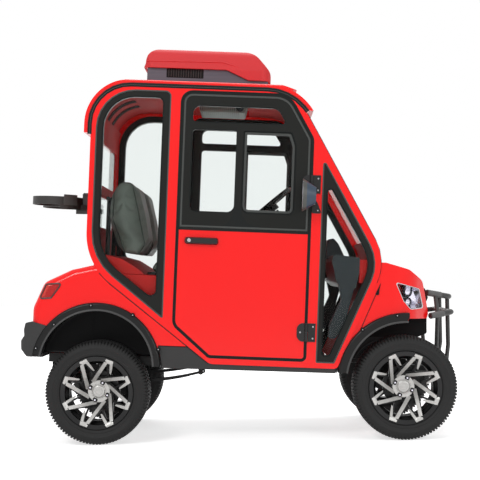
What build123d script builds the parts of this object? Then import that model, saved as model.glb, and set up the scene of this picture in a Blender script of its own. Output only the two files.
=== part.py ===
from build123d import *
import os
from math import cos, radians, sin, tan

os.makedirs("parts", exist_ok=True)

# Two-seat electric golf cart with a closed cab, in millimetres.
# +X is forward, +Z is up, and the origin is on the ground below the middle of the cart.
# The body stands nose down on its lifted suspension: its pieces are drawn level and turned by RAKE.
# Wheels, axles, knuckles and the tie rod are drawn straight on the ground.

# Driving dimensions
RAKE = 3.2
CLEARANCE = 0.3  # between a piece and its seat
PIN_CLEARANCE = 0.05  # radial, of a running pin in its bore

# Widths and heights that the rest follows
CAB_HALF_WIDTH = 605
TYRE_RADIUS = 280
RAIL_Z = 375  # underside of the frame rails in the body's own level frame
RAIL_OVER_AXLE = 95
BODY_LIFT = TYRE_RADIUS + RAIL_OVER_AXLE - RAIL_Z

# Wheels and axles
TYRE_WIDTH = 230
WHEEL_OUTER_Y = CAB_HALF_WIDTH + 20  # outer face of a tyre
REAR_AXLE_X = -785
WHEELBASE = 1660
FRONT_AXLE_X = REAR_AXLE_X + WHEELBASE
WHEEL_Y = WHEEL_OUTER_Y - TYRE_WIDTH / 2
TYRE_WALL = 84  # height of a tyre over its rim
RIM_LIP_RADIUS = TYRE_RADIUS - TYRE_WALL
RIM_RADIUS = RIM_LIP_RADIUS - 18  # bead seat of a 14-inch rim
RIM_WALL = 6
HUB_RADIUS = 57
SPOKE_HUB_RADIUS = HUB_RADIUS + 13  # reaches the spokes' long arms
SPOKE_COUNT = 8
SPOKE_THICKNESS = 22
SPOKE_TIP = RIM_RADIUS + 10
DISH_DEPTH = 111
TIP_FACE = -104  # plane of the spoke tips, from the wheel's middle, outwards negative
HUB_FACE = TIP_FACE + DISH_DEPTH
DRUM_RADIUS = RIM_RADIUS - 66
DRUM_BACK = 48  # inner face of the brake drum, from the wheel's middle
STUD_CIRCLE = 101.6
STUD_COUNT = 4
NUT_RADIUS = 10
NUT_HEIGHT = 14
SPINDLE_RADIUS = 15
KINGPIN_Y = WHEEL_Y - 80
KINGPIN_RADIUS = 10
KNUCKLE_RADIUS = 20
KNUCKLE_HEIGHT = 100
YOKE_PLATE = 15
YOKE_RADIUS = 22
STEERING_ARM = 130
TIE_PIN_RADIUS = 6
TIE_ROD_RADIUS = 6.5
BEAM = 44  # square front axle tube

# Cab side, as (x, z, corner radius)
SIDE_DEPTH = 40
ROOF_Z = 1900
SILL_Z = 415
CAB_REAR_X = -890
CHIN_X, CHIN_Z = 733, 1006
CAB_SIDE = [
    (CAB_REAR_X, ROOF_Z, 210),
    (209, ROOF_Z, 262),
    (CHIN_X, CHIN_Z, 258),
    (486, SILL_Z, 30),
    (-199, SILL_Z, 60),
    (CAB_REAR_X, 930, 340),
]
DOOR_FRONT_X = 314
DOOR_REAR_X = -403
DOOR_BOTTOM_Z = 452
DOOR_TOP_Z = 1882
DOOR_OPENING = [
    (DOOR_REAR_X, DOOR_TOP_Z, 60),
    (177, DOOR_TOP_Z, 120),
    (DOOR_FRONT_X, 1649, 60),
    (DOOR_FRONT_X, DOOR_BOTTOM_Z, 25),
    (-206, DOOR_BOTTOM_Z, 30),
    (DOOR_REAR_X, 618, 60),
]
DOOR_GAP = 11
DOOR_DEPTH = 35
DOOR_WAIST_Z = 1141
REAR_WINDOW = [(-862, 1880, 210), (-461, 1880, 30), (-461, 648, 6), (-862, 958, 300)]
REAR_WINDOW_GLASS = [(-822, 1841, 170), (-504, 1841, 30), (-504, 741, 30), (-822, 978, 260)]
FRONT_WINDOW = [(373, 1548, 10), (697, 997, 225), (470, 444, 8), (371, 444, 8)]
FRONT_WINDOW_GLASS = [(404, 1418, 15), (654, 992, 190), (442, 485, 14), (404, 485, 14)]
GLASS = 5

# Door windows: rear pane, front pane and the strip above the bar
REAR_PANE = [(-340, 1677, 20), (-100, 1677, 10), (-100, 1235, 40), (-340, 1235, 30)]
FRONT_PANE = [(-60, 1677, 10), (197, 1677, 15), (222, 1608, 40), (222, 1235, 30), (-60, 1235, 40)]
TOP_PANE = [(-340, 1806, 40), (118, 1806, 50), (170, 1720, 15), (-340, 1720, 20)]
DOOR_PANES = [REAR_PANE, FRONT_PANE, TOP_PANE]

# Door hinges
HINGE_X = 313
HINGE_Y = CAB_HALF_WIDTH + 10
HINGE_BARREL = 8
HINGE_PIN = 4
HINGE_LEAF = 6  # thickness of a leaf
LEAF_GAP = 1.5  # between a leaf and the other leaf's barrel
HINGE_LENGTH = 99
HINGE_BOTTOMS = [555, 1353]
LEAF_REACH = 50

# Seats
CUSHION_HALF_WIDTH = CAB_HALF_WIDTH - 85
SEAT_HALF_WIDTH = (CUSHION_HALF_WIDTH - 56) / 2
SEAT_Y = CUSHION_HALF_WIDTH - 8 - SEAT_HALF_WIDTH

# Roof and air conditioner
ROOF_DEPTH = 38
ROOF_HALF_WIDTH = CAB_HALF_WIDTH - 7
ROOF_FRONT_Z = 1802
ROOF_REAR_Z = 1639
ROOF_TOP_Z = ROOF_Z + ROOF_DEPTH
ROOF_CROWN = 26  # rise of the roof's middle over its sides
ROOF_CROWN_RADIUS = 7000
ROOF_EDGE = 24
AC_HALF_WIDTH = 315
AC_BASE_HALF_WIDTH = 292

# Wheel arches, as centre and radii in the body's own level frame
REAR_ARCH_X, REAR_ARCH_Z = -810, 373
REAR_ARCH_INNER = TYRE_RADIUS + 22
REAR_ARCH_OUTER = REAR_ARCH_INNER + 46
FRONT_ARCH_X, FRONT_ARCH_Z = 860, 361
FRONT_ARCH_INNER = TYRE_RADIUS + 35
FRONT_ARCH_OUTER = FRONT_ARCH_INNER + 55
FLARE_FRONT_X = FRONT_ARCH_X + 5  # front end of the front flares
FLARE_INNER_Y = CAB_HALF_WIDTH - 60
FLARE_OUTER_Y = CAB_HALF_WIDTH + 17
ARCH_WALL_Y = WHEEL_OUTER_Y - TYRE_WIDTH - 12  # wall between a rear tyre and the middle of the cart
LINER = 3

# Frame rails
RAIL_HEIGHT = 50
RAIL_Y = ARCH_WALL_Y - 58
RAIL_WIDTH = 50
FRONT_RAIL_Y = 170
FLOOR_Z = RAIL_Z + RAIL_HEIGHT + CLEARANCE
FLOOR_THICKNESS = 15
POD_FRONT_X = -205
POD_TOP_Z = 880
WALL = 12

# Brush guard, as drawn on the ground below the lifted body
GUARD_TUBE = 15
GUARD_STRUT = 12
GUARD_FRONT_X = 1192 - GUARD_TUBE


def outline(corners, grow=0):
    """Face inside a closed outline of (x, z, corner radius) rows, moved outwards by grow."""
    with BuildSketch() as face:
        with BuildLine():
            FilletPolyline(
                *[(x, z) for x, z, radius in corners],
                radius=[radius for x, z, radius in corners],
                close=True,
            )
        make_face()
        if grow:
            offset(amount=grow)
    return face.sketch


def window(left, right, bottom, top):
    """Plain rectangle between two positions and two heights, to keep or cut part of a profile."""
    with BuildSketch() as face:
        with Locations(((left + right) / 2, (bottom + top) / 2)):
            Rectangle(right - left, top - bottom)
    return face.sketch


def side_plane(y):
    """Upright plane at a distance to the right of the middle, seen from the right."""
    return Plane.XZ.offset(y)


def finish(piece, name, raked=True):
    """Turn a piece of the body down by the rake, lift it to its ride height, label it and write it."""
    if raked:
        piece.part = Pos(0, 0, BODY_LIFT) * piece.part.rotate(Axis.Y, RAKE)
    piece.part.label = name
    export_step(piece.part, f"parts/{name}.step")


# Outlines that several pieces share
cab_outline = outline(CAB_SIDE)
door_opening = outline(DOOR_OPENING)
door_outline = outline(DOOR_OPENING, -DOOR_GAP)
FAR = 3000

# Side frames
with BuildPart() as side_frame_right:
    with BuildSketch(side_plane(CAB_HALF_WIDTH)):
        add(cab_outline)
        add(door_opening, mode=Mode.SUBTRACT)
        add(outline(REAR_WINDOW), mode=Mode.SUBTRACT)
        add(outline(FRONT_WINDOW), mode=Mode.SUBTRACT)
    extrude(amount=-SIDE_DEPTH)
with BuildPart() as side_frame_left:
    mirror(side_frame_right.part, about=Plane.XZ)
finish(side_frame_right, "side_frame_right")
finish(side_frame_left, "side_frame_left")

# Black window surrounds and fixed glass of both sides
SURROUND_INSET = 3
with BuildPart() as window_surrounds:
    for border, glass in ((REAR_WINDOW, REAR_WINDOW_GLASS), (FRONT_WINDOW, FRONT_WINDOW_GLASS)):
        with BuildSketch(side_plane(CAB_HALF_WIDTH - SURROUND_INSET)):
            add(outline(border, -CLEARANCE))
            add(outline(glass), mode=Mode.SUBTRACT)
        extrude(amount=-(SIDE_DEPTH - SURROUND_INSET))
    mirror(about=Plane.XZ)
finish(window_surrounds, "window_surrounds")

with BuildPart() as quarter_glass:
    for glass in (REAR_WINDOW_GLASS, FRONT_WINDOW_GLASS):
        with BuildSketch(side_plane(CAB_HALF_WIDTH - SIDE_DEPTH / 2)):
            add(outline(glass, -CLEARANCE))
        extrude(amount=-GLASS)
    mirror(about=Plane.XZ)
finish(quarter_glass, "quarter_glass")

# Doors: drawn on the right side and mirrored
with BuildPart() as door_panel:
    with BuildSketch(side_plane(CAB_HALF_WIDTH)):
        add(door_outline)
        add(window(-FAR, FAR, DOOR_WAIST_Z, FAR), mode=Mode.SUBTRACT)
    extrude(amount=-DOOR_DEPTH)

with BuildPart() as door_sash:
    with BuildSketch(side_plane(CAB_HALF_WIDTH)):
        add(door_outline)
        add(window(-FAR, FAR, -FAR, DOOR_WAIST_Z + CLEARANCE), mode=Mode.SUBTRACT)
        for pane in DOOR_PANES:
            add(outline(pane), mode=Mode.SUBTRACT)
    extrude(amount=-DOOR_DEPTH)

with BuildPart() as door_glass:
    for pane in DOOR_PANES:
        with BuildSketch(side_plane(CAB_HALF_WIDTH - DOOR_DEPTH / 2)):
            add(outline(pane, -CLEARANCE))
        extrude(amount=-GLASS)

SKIN_Y = CAB_HALF_WIDTH + CLEARANCE
BARREL_SPLIT = 0.52  # share of a hinge's length that turns with the door
BARREL_GAP = 1
HANDLE_X, HANDLE_Z = -268, 1075
HANDLE_LENGTH, HANDLE_HEIGHT, HANDLE_DEPTH = 183, 39, 24
MIRROR_X, MIRROR_Y, MIRROR_Z = 300, CAB_HALF_WIDTH + 85, 1338
MIRROR_SIZE = (72, 104, 176)
MIRROR_ARM_RADIUS = 7
DOOR_LEAF_CORNER = 34
with BuildPart() as door_hardware:
    for bottom in HINGE_BOTTOMS:
        door_share = HINGE_LENGTH * BARREL_SPLIT
        leaf_front = HINGE_X - HINGE_BARREL - LEAF_GAP
        with BuildSketch(side_plane(SKIN_Y)):
            add(
                outline(
                    [
                        (HINGE_X - LEAF_REACH, bottom, DOOR_LEAF_CORNER),
                        (leaf_front, bottom, 2),
                        (leaf_front, bottom + HINGE_LENGTH, 2),
                        (HINGE_X - LEAF_REACH, bottom + HINGE_LENGTH, DOOR_LEAF_CORNER),
                    ]
                )
            )
            add(window(leaf_front - 2, HINGE_X, bottom, bottom + door_share))
        extrude(amount=HINGE_LEAF)
        with Locations((HINGE_X, -HINGE_Y, bottom)):
            Cylinder(HINGE_BARREL, door_share, align=(Align.CENTER, Align.CENTER, Align.MIN))
            Cylinder(
                HINGE_PIN + PIN_CLEARANCE,
                door_share,
                align=(Align.CENTER, Align.CENTER, Align.MIN),
                mode=Mode.SUBTRACT,
            )
    with BuildSketch(side_plane(SKIN_Y)):
        with Locations((HANDLE_X, HANDLE_Z)):
            RectangleRounded(HANDLE_LENGTH, HANDLE_HEIGHT, HANDLE_HEIGHT * 0.4)
    extrude(amount=HANDLE_DEPTH, taper=12)
    with BuildSketch(side_plane(SKIN_Y)):
        with Locations((MIRROR_X - 12, MIRROR_Z)):
            RectangleRounded(24, 60, 6)
    extrude(amount=HINGE_LEAF)
    with BuildSketch(side_plane(SKIN_Y)):
        with Locations((MIRROR_X - 10, MIRROR_Z)):
            Circle(MIRROR_ARM_RADIUS)
    extrude(amount=MIRROR_Y - SKIN_Y)
    with BuildSketch(Plane.YZ.offset(MIRROR_X - MIRROR_SIZE[0] / 2)):
        with Locations((-MIRROR_Y, MIRROR_Z)):
            Ellipse(MIRROR_SIZE[1] / 2, MIRROR_SIZE[2] / 2)
    with BuildSketch(Plane.YZ.offset(MIRROR_X + MIRROR_SIZE[0] / 2)):
        with Locations((-MIRROR_Y, MIRROR_Z)):
            Ellipse(MIRROR_SIZE[1] / 4, MIRROR_SIZE[2] / 4)
    loft()

for piece, name in (
    (door_panel, "door_panel"),
    (door_sash, "door_sash"),
    (door_glass, "door_glass"),
    (door_hardware, "door_hardware"),
):
    with BuildPart() as left_piece:
        mirror(piece.part, about=Plane.XZ)
    finish(piece, f"{name}_right")
    finish(left_piece, f"{name}_left")

# Hinge leaves and pins on the pillars of both sides, with a bracket below the upper ones
CORNER_BRACKET = [(320, 1314, 8), (345, 1314, 20), (373, 1246, 8), (320, 1246, 8)]
with BuildPart() as hinge_brackets:
    for bottom in HINGE_BOTTOMS:
        pillar_bottom = bottom + HINGE_LENGTH * BARREL_SPLIT + BARREL_GAP
        pillar_share = bottom + HINGE_LENGTH - pillar_bottom
        leaf_rear = HINGE_X + HINGE_BARREL + LEAF_GAP
        with BuildSketch(side_plane(SKIN_Y)):
            add(window(leaf_rear, HINGE_X + LEAF_REACH, bottom, bottom + HINGE_LENGTH))
            add(window(HINGE_X, leaf_rear + 2, pillar_bottom, pillar_bottom + pillar_share))
        extrude(amount=HINGE_LEAF)
        with Locations((HINGE_X, -HINGE_Y, pillar_bottom)):
            Cylinder(HINGE_BARREL, pillar_share, align=(Align.CENTER, Align.CENTER, Align.MIN))
        with Locations((HINGE_X, -HINGE_Y, bottom)):
            Cylinder(HINGE_PIN, HINGE_LENGTH, align=(Align.CENTER, Align.CENTER, Align.MIN))
    with BuildSketch(side_plane(SKIN_Y)):
        add(outline(CORNER_BRACKET))
    extrude(amount=HINGE_LEAF)
    mirror(about=Plane.XZ)
finish(hinge_brackets, "hinge_brackets")

# Roof: a band over the top of the side frames, crowned in the middle and rounded at its edges
ROOF_CROWN_SIDE = [
    (-790, ROOF_Z + 10, 0),
    (-640, ROOF_TOP_Z + ROOF_CROWN, 250),
    (60, ROOF_TOP_Z + ROOF_CROWN, 250),
    (215, ROOF_Z + 10, 0),
]


def roof_section(grow=0):
    """Section across the roof and the whole cab below it."""
    corners = [
        (-ROOF_HALF_WIDTH, 0, 0),
        (-ROOF_HALF_WIDTH, ROOF_TOP_Z, ROOF_EDGE),
        (0, ROOF_TOP_Z + ROOF_CROWN, ROOF_CROWN_RADIUS),
        (ROOF_HALF_WIDTH, ROOF_TOP_Z, ROOF_EDGE),
        (ROOF_HALF_WIDTH, 0, 0),
    ]
    return outline(corners, grow)


with BuildPart() as roof_shell:
    with BuildSketch(Plane.XZ):
        add(outline(CAB_SIDE, ROOF_DEPTH))
        add(outline(ROOF_CROWN_SIDE))
        add(outline(CAB_SIDE, CLEARANCE), mode=Mode.SUBTRACT)
        add(window(-FAR, 0, -FAR, ROOF_REAR_Z), mode=Mode.SUBTRACT)
        add(window(0, FAR, -FAR, ROOF_FRONT_Z), mode=Mode.SUBTRACT)
    extrude(amount=ROOF_HALF_WIDTH, both=True)
    with BuildSketch(Plane.YZ.offset(-FAR)):
        add(roof_section())
    extrude(amount=2 * FAR, mode=Mode.INTERSECT)
finish(roof_shell, "roof_shell")

# Rear wall with two windows, front wall and windshield between the side frames
INNER_Y = CAB_HALF_WIDTH - SIDE_DEPTH - CLEARANCE
PANEL_INSET = 4
WALL_DEPTH = 20
REAR_WALL_BOTTOM = 935
REAR_WALL_TOP = 1760
REAR_PANES = [(1380, 1620), (1140, 1315)]
REAR_PANE_HALF_WIDTH = CAB_HALF_WIDTH - 115
REAR_PANE_CORNER = 30
with BuildPart() as rear_wall:
    with BuildSketch(Plane.XZ):
        add(outline(CAB_SIDE, -PANEL_INSET))
        add(outline(CAB_SIDE, -PANEL_INSET - WALL_DEPTH), mode=Mode.SUBTRACT)
        add(window(-FAR, FAR, -FAR, REAR_WALL_BOTTOM), mode=Mode.SUBTRACT)
        add(window(-FAR, FAR, REAR_WALL_TOP, FAR), mode=Mode.SUBTRACT)
        add(window(0, FAR, -FAR, FAR), mode=Mode.SUBTRACT)
    extrude(amount=INNER_Y, both=True)
    for bottom, top in REAR_PANES:
        with BuildSketch(Plane.YZ.offset(CAB_REAR_X - 50)):
            with Locations((0, (bottom + top) / 2)):
                RectangleRounded(2 * REAR_PANE_HALF_WIDTH, top - bottom, REAR_PANE_CORNER)
        extrude(amount=WALL_DEPTH * 10, mode=Mode.SUBTRACT)
finish(rear_wall, "rear_wall")

with BuildPart() as rear_glass:
    for bottom, top in REAR_PANES:
        with BuildSketch(Plane.YZ.offset(CAB_REAR_X + PANEL_INSET + WALL_DEPTH / 2)):
            with Locations((0, (bottom + top) / 2)):
                RectangleRounded(
                    2 * (REAR_PANE_HALF_WIDTH - CLEARANCE),
                    top - bottom - 2 * CLEARANCE,
                    REAR_PANE_CORNER - CLEARANCE,
                )
        extrude(amount=GLASS)
finish(rear_glass, "rear_glass")

WINDSHIELD_BOTTOM = 1112
WINDSHIELD_TOP = 1850
with BuildPart() as windshield:
    with BuildSketch(Plane.XZ):
        add(outline(CAB_SIDE, -PANEL_INSET))
        add(outline(CAB_SIDE, -PANEL_INSET - GLASS), mode=Mode.SUBTRACT)
        add(window(-FAR, FAR, -FAR, WINDSHIELD_BOTTOM), mode=Mode.SUBTRACT)
        add(window(-FAR, FAR, WINDSHIELD_TOP, FAR), mode=Mode.SUBTRACT)
        add(window(-FAR, 0, -FAR, FAR), mode=Mode.SUBTRACT)
    extrude(amount=INNER_Y, both=True)
finish(windshield, "windshield")

FLOOR_TOP = FLOOR_Z + FLOOR_THICKNESS
DASH_FACE_X = 470
SCUTTLE_X = 592  # front end of the dashboard, where the red scuttle starts
SCUTTLE_BOTTOM_Z, SCUTTLE_TOP_Z = 880, 1008
with BuildPart() as front_wall:
    with BuildSketch(Plane.XZ):
        add(outline(CAB_SIDE, -PANEL_INSET))
        add(outline(CAB_SIDE, -PANEL_INSET - WALL_DEPTH), mode=Mode.SUBTRACT)
        add(window(-FAR, FAR, -FAR, FLOOR_TOP + CLEARANCE), mode=Mode.SUBTRACT)
        add(window(-FAR, FAR, WINDSHIELD_BOTTOM - CLEARANCE, FAR), mode=Mode.SUBTRACT)
        add(window(-FAR, 0, -FAR, FAR), mode=Mode.SUBTRACT)
    extrude(amount=INNER_Y, both=True)
    with BuildSketch(Plane.XZ):
        add(outline(CAB_SIDE, -PANEL_INSET - WALL_DEPTH / 2))
        add(window(-FAR, SCUTTLE_X + CLEARANCE, -FAR, FAR), mode=Mode.SUBTRACT)
        add(window(-FAR, FAR, -FAR, SCUTTLE_BOTTOM_Z), mode=Mode.SUBTRACT)
        add(window(-FAR, FAR, SCUTTLE_TOP_Z, FAR), mode=Mode.SUBTRACT)
    extrude(amount=INNER_Y, both=True)
finish(front_wall, "front_wall")

# Air conditioner on the roof
AC_REAR_X, AC_FRONT_X = -640, 75
AC_HEIGHT = 222
AC_TOP_Z = ROOF_TOP_Z + AC_HEIGHT
AC_SPLIT_Z = ROOF_TOP_Z + 0.514 * AC_HEIGHT  # lower edge of the cover behind
AC_SPLIT_FRONT_Z = ROOF_TOP_Z + 0.266 * AC_HEIGHT  # lower edge of the cover in front
AC_STEP_X = (-177, -50)
AC_BASE_INSET = 15
AC_TAPER = 20  # by which each side leans in
AC_EDGE = 0.22 * AC_HEIGHT
AC_CORNER = 60
AC_LIP = (8, 0.1 * AC_HEIGHT)  # reach and height of the flared rear edge
AC_COVER = [
    (AC_REAR_X - AC_LIP[0], AC_SPLIT_Z, 3),
    (AC_REAR_X + 4, AC_SPLIT_Z + AC_LIP[1], 20),
    (AC_REAR_X + 12, AC_TOP_Z, 0.36 * AC_HEIGHT),
    (-30, AC_TOP_Z + 3, 0.58 * AC_HEIGHT),
    (AC_FRONT_X, ROOF_TOP_Z + 0.48 * AC_HEIGHT, 0.27 * AC_HEIGHT),
    (AC_FRONT_X, AC_SPLIT_FRONT_Z, 5),
    (AC_STEP_X[1], AC_SPLIT_FRONT_Z, 10),
    (AC_STEP_X[0], AC_SPLIT_Z, 20),
]
AC_BASE = [
    (AC_REAR_X + AC_BASE_INSET, ROOF_TOP_Z, 0),
    (AC_REAR_X + AC_BASE_INSET, AC_SPLIT_Z - CLEARANCE, 8),
    (AC_STEP_X[0] - 1, AC_SPLIT_Z - CLEARANCE, 10),
    (AC_STEP_X[1] - 1, AC_SPLIT_FRONT_Z - CLEARANCE, 10),
    (AC_FRONT_X - AC_BASE_INSET, AC_SPLIT_FRONT_Z - CLEARANCE, 8),
    (AC_FRONT_X - AC_BASE_INSET, ROOF_TOP_Z, 0),
]
AC_SECTION = [
    (-AC_HALF_WIDTH, ROOF_TOP_Z, 0),
    (-AC_HALF_WIDTH, AC_SPLIT_Z, 0),
    (AC_TAPER - AC_HALF_WIDTH, AC_TOP_Z + 3, AC_EDGE),
    (AC_HALF_WIDTH - AC_TAPER, AC_TOP_Z + 3, AC_EDGE),
    (AC_HALF_WIDTH, AC_SPLIT_Z, 0),
    (AC_HALF_WIDTH, ROOF_TOP_Z, 0),
]
LOUVRE_COUNT, LOUVRE_PITCH, LOUVRE_SLOT, LOUVRE_DEPTH = 5, 9, 5, 12
LOUVRE_REAR_X, LOUVRE_FRONT_X = -512, -310
LOUVRE_BOTTOM_Z = AC_SPLIT_Z - 46
with BuildPart() as ac_cover:
    with BuildSketch(Plane.XZ):
        add(outline(AC_COVER))
    extrude(amount=AC_HALF_WIDTH, both=True)
    with BuildSketch(Plane.YZ.offset(AC_REAR_X - 50)):
        add(outline(AC_SECTION))
    extrude(amount=FAR, mode=Mode.INTERSECT)
    with BuildSketch(Plane.XY):
        with Locations(((AC_REAR_X - AC_LIP[0] + AC_FRONT_X) / 2, 0)):
            RectangleRounded(AC_FRONT_X - AC_REAR_X + AC_LIP[0], 2 * AC_HALF_WIDTH, AC_CORNER)
    extrude(amount=FAR, mode=Mode.INTERSECT)
finish(ac_cover, "ac_cover")
with BuildPart() as ac_base:
    with BuildSketch(Plane.XZ):
        add(outline(AC_BASE))
    extrude(amount=AC_BASE_HALF_WIDTH, both=True)
    with BuildSketch(Plane.YZ.offset(-FAR)):
        add(roof_section(CLEARANCE))
    extrude(amount=2 * FAR, mode=Mode.SUBTRACT)
    for slat in range(LOUVRE_COUNT):
        bottom = LOUVRE_BOTTOM_Z + slat * LOUVRE_PITCH
        for side in (-1, 1):
            with BuildSketch(side_plane(side * AC_BASE_HALF_WIDTH)):
                add(window(LOUVRE_REAR_X, LOUVRE_FRONT_X, bottom, bottom + LOUVRE_SLOT))
            extrude(amount=-side * LOUVRE_DEPTH, mode=Mode.SUBTRACT)
finish(ac_base, "ac_base")
VENT_REAR_X, VENT_FRONT_X = -340, -50
VENT_TOP_Z, VENT_BOTTOM_Z = ROOF_Z - 2, ROOF_Z - 68
VENT_TAPER = 15
VENT_DUCT_INSET = 40
VENT = [
    (VENT_REAR_X, VENT_TOP_Z, 3),
    (VENT_FRONT_X, VENT_TOP_Z, 3),
    (VENT_FRONT_X - VENT_TAPER, VENT_BOTTOM_Z, VENT_TAPER),
    (VENT_REAR_X + VENT_TAPER, VENT_BOTTOM_Z, VENT_TAPER),
]
with BuildPart() as ceiling_vent:
    with BuildSketch(Plane.XZ):
        add(outline(VENT))
    extrude(amount=150, both=True)
    with BuildSketch(Plane.XZ):
        add(window(VENT_REAR_X + VENT_DUCT_INSET, VENT_FRONT_X - VENT_DUCT_INSET, VENT_TOP_Z - 8, ROOF_Z))
    extrude(amount=100, both=True)
finish(ceiling_vent, "ceiling_vent")

# Frame rails, with the floor on them
FRAME_REAR_X = -1105
FRAME_STEP_X = 480
FRAME_FRONT_X = 1150
CROSSMEMBERS = [
    (-1080, RAIL_Y),
    (-799, RAIL_Y),
    (-180, RAIL_Y),
    (FRAME_STEP_X, RAIL_Y),
    (1125, FRONT_RAIL_Y),
]
SHOCK_TOWER = (70, 140, 40)
SHOCK_TOWER_X = FRONT_AXLE_X - 17
SHOCK_TOWER_Y = FRONT_RAIL_Y + 60
with BuildPart() as chassis_frame:
    with BuildSketch(Plane.XY.offset(RAIL_Z)):
        for side in (-1, 1):
            with Locations(((FRAME_REAR_X + FRAME_STEP_X) / 2, side * RAIL_Y)):
                Rectangle(FRAME_STEP_X - FRAME_REAR_X, RAIL_WIDTH)
            with Locations(((FRAME_STEP_X + FRAME_FRONT_X) / 2, side * FRONT_RAIL_Y)):
                Rectangle(FRAME_FRONT_X - FRAME_STEP_X, RAIL_WIDTH)
        for x, y in CROSSMEMBERS:
            with Locations((x, 0)):
                Rectangle(RAIL_WIDTH, 2 * y + RAIL_WIDTH)
    extrude(amount=RAIL_HEIGHT)
    for side in (-1, 1):
        with Locations((SHOCK_TOWER_X, side * SHOCK_TOWER_Y, RAIL_Z + RAIL_HEIGHT + SHOCK_TOWER[2] / 2)):
            Box(*SHOCK_TOWER)
finish(chassis_frame, "chassis_frame")

FLOOR_REAR_X = -240
FLOOR_FRONT_X = 466
with BuildPart() as floor_pan:
    with Locations(((FLOOR_REAR_X + FLOOR_FRONT_X) / 2, 0, FLOOR_Z + FLOOR_THICKNESS / 2)):
        Box(FLOOR_FRONT_X - FLOOR_REAR_X, 2 * INNER_Y, FLOOR_THICKNESS)
finish(floor_pan, "floor_pan")

# Seat pod over the battery pack, open below
POD_REAR_X = -862
POD_BOTTOM_Z = FLOOR_TOP + CLEARANCE
POD_CORE_Y = ARCH_WALL_Y - WALL
SEAT_HINGE_BARREL, SEAT_HINGE_PIN = 6, 3
SEAT_HINGE_X, SEAT_HINGE_Z = POD_FRONT_X, POD_TOP_Z - SEAT_HINGE_PIN
SEAT_HINGE_Y = 300
SEAT_HINGE_LENGTH = 60
with BuildPart() as seat_pod:
    with BuildSketch(Plane.XZ):
        add(window(POD_REAR_X, POD_FRONT_X, POD_BOTTOM_Z, POD_TOP_Z))
    extrude(amount=INNER_Y, both=True)
    with BuildSketch(Plane.XZ):
        add(window(POD_REAR_X + WALL, POD_FRONT_X - WALL, 0, POD_TOP_Z - WALL))
    extrude(amount=POD_CORE_Y, both=True, mode=Mode.SUBTRACT)
    for side in (-1, 1):
        with BuildSketch(side_plane(side * ARCH_WALL_Y)):
            with Locations((REAR_ARCH_X, REAR_ARCH_Z)):
                Circle(REAR_ARCH_OUTER)
        extrude(amount=side * CAB_HALF_WIDTH, mode=Mode.SUBTRACT)
        with Locations((SEAT_HINGE_X, side * SEAT_HINGE_Y, SEAT_HINGE_Z)):
            Box(
                2 * SEAT_HINGE_BARREL + 3,
                SEAT_HINGE_LENGTH + 2,
                2 * SEAT_HINGE_BARREL + 3,
                mode=Mode.SUBTRACT,
            )
        with Locations(Pos(SEAT_HINGE_X, side * SEAT_HINGE_Y, SEAT_HINGE_Z) * Rot(90, 0, 0)):
            Cylinder(SEAT_HINGE_PIN, SEAT_HINGE_LENGTH + 12)
finish(seat_pod, "seat_pod")

BATTERY_LENGTH, BATTERY_WIDTH, BATTERY_HEIGHT = 400, 2 * (RAIL_Y - 5), 300
BATTERY_X = POD_FRONT_X - BATTERY_LENGTH / 2 - 35
with BuildPart() as battery_pack:
    with Locations((BATTERY_X, 0, FLOOR_Z + BATTERY_HEIGHT / 2)):
        Box(BATTERY_LENGTH, BATTERY_WIDTH, BATTERY_HEIGHT)
finish(battery_pack, "battery_pack")

# Rear body: fenders on both sides of an open bag well
REAR_BODY_REAR_X = -1166
REAR_BODY_BOTTOM_Z = 432
REAR_BODY_SIDE = [
    (-700, 960, 0),
    (-960, 895, 120),
    (-1108, 820, 60),
    (REAR_BODY_REAR_X, 680, 90),
    (REAR_BODY_REAR_X, REAR_BODY_BOTTOM_Z, 0),
    (-480, REAR_BODY_BOTTOM_Z, 0),
    (-480, 504, 0),
    (-318, 504, 0),
    (-250, 600, 0),
]
FENDER_SKIN_Y = INNER_Y + 3
REAR_BODY_Y = CAB_HALF_WIDTH - 2
WELL_FLOOR_Z = 572
WELL_FLOOR_REAR_X = REAR_BODY_REAR_X + 2
TRAY_HEIGHT = 8  # raised pad on the well's floor
TRAY_INSET = 20
FENDER_ROUNDING = 42
TAILLIGHT = [(-1018, 816, 6), (-1096, 808, 8), (-1128, 732, 8), (-1068, 738, 10), (-1028, 796, 12)]
TAILLIGHT_DEPTH = 50


def fender_form():
    """Right fender with a rounded shoulder, clear of the cab and of the flare, before its lamp is let in."""
    with BuildPart() as form:
        with BuildSketch(side_plane(REAR_BODY_Y)):
            add(outline(REAR_BODY_SIDE))
        extrude(amount=-(REAR_BODY_Y - ARCH_WALL_Y))
        edges = form.faces().sort_by(Axis.Y)[0].edges()
        edges = edges.filter_by_position(Axis.Z, WELL_FLOOR_Z - 80, FAR)
        fillet(edges.filter_by_position(Axis.X, -FAR, CAB_REAR_X + 150), FENDER_ROUNDING)
        with BuildSketch(side_plane(REAR_BODY_Y)):
            add(outline(CAB_SIDE, CLEARANCE))
            with Locations((REAR_ARCH_X, REAR_ARCH_Z)):
                Circle(REAR_ARCH_OUTER + CLEARANCE)
        extrude(amount=-(REAR_BODY_Y - ARCH_WALL_Y), mode=Mode.SUBTRACT)
        with BuildSketch(side_plane(FENDER_SKIN_Y)):
            add(window(CAB_REAR_X - CLEARANCE, FAR, -FAR, FAR))
        extrude(amount=-(FENDER_SKIN_Y - ARCH_WALL_Y), mode=Mode.SUBTRACT)
    return form.part


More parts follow.
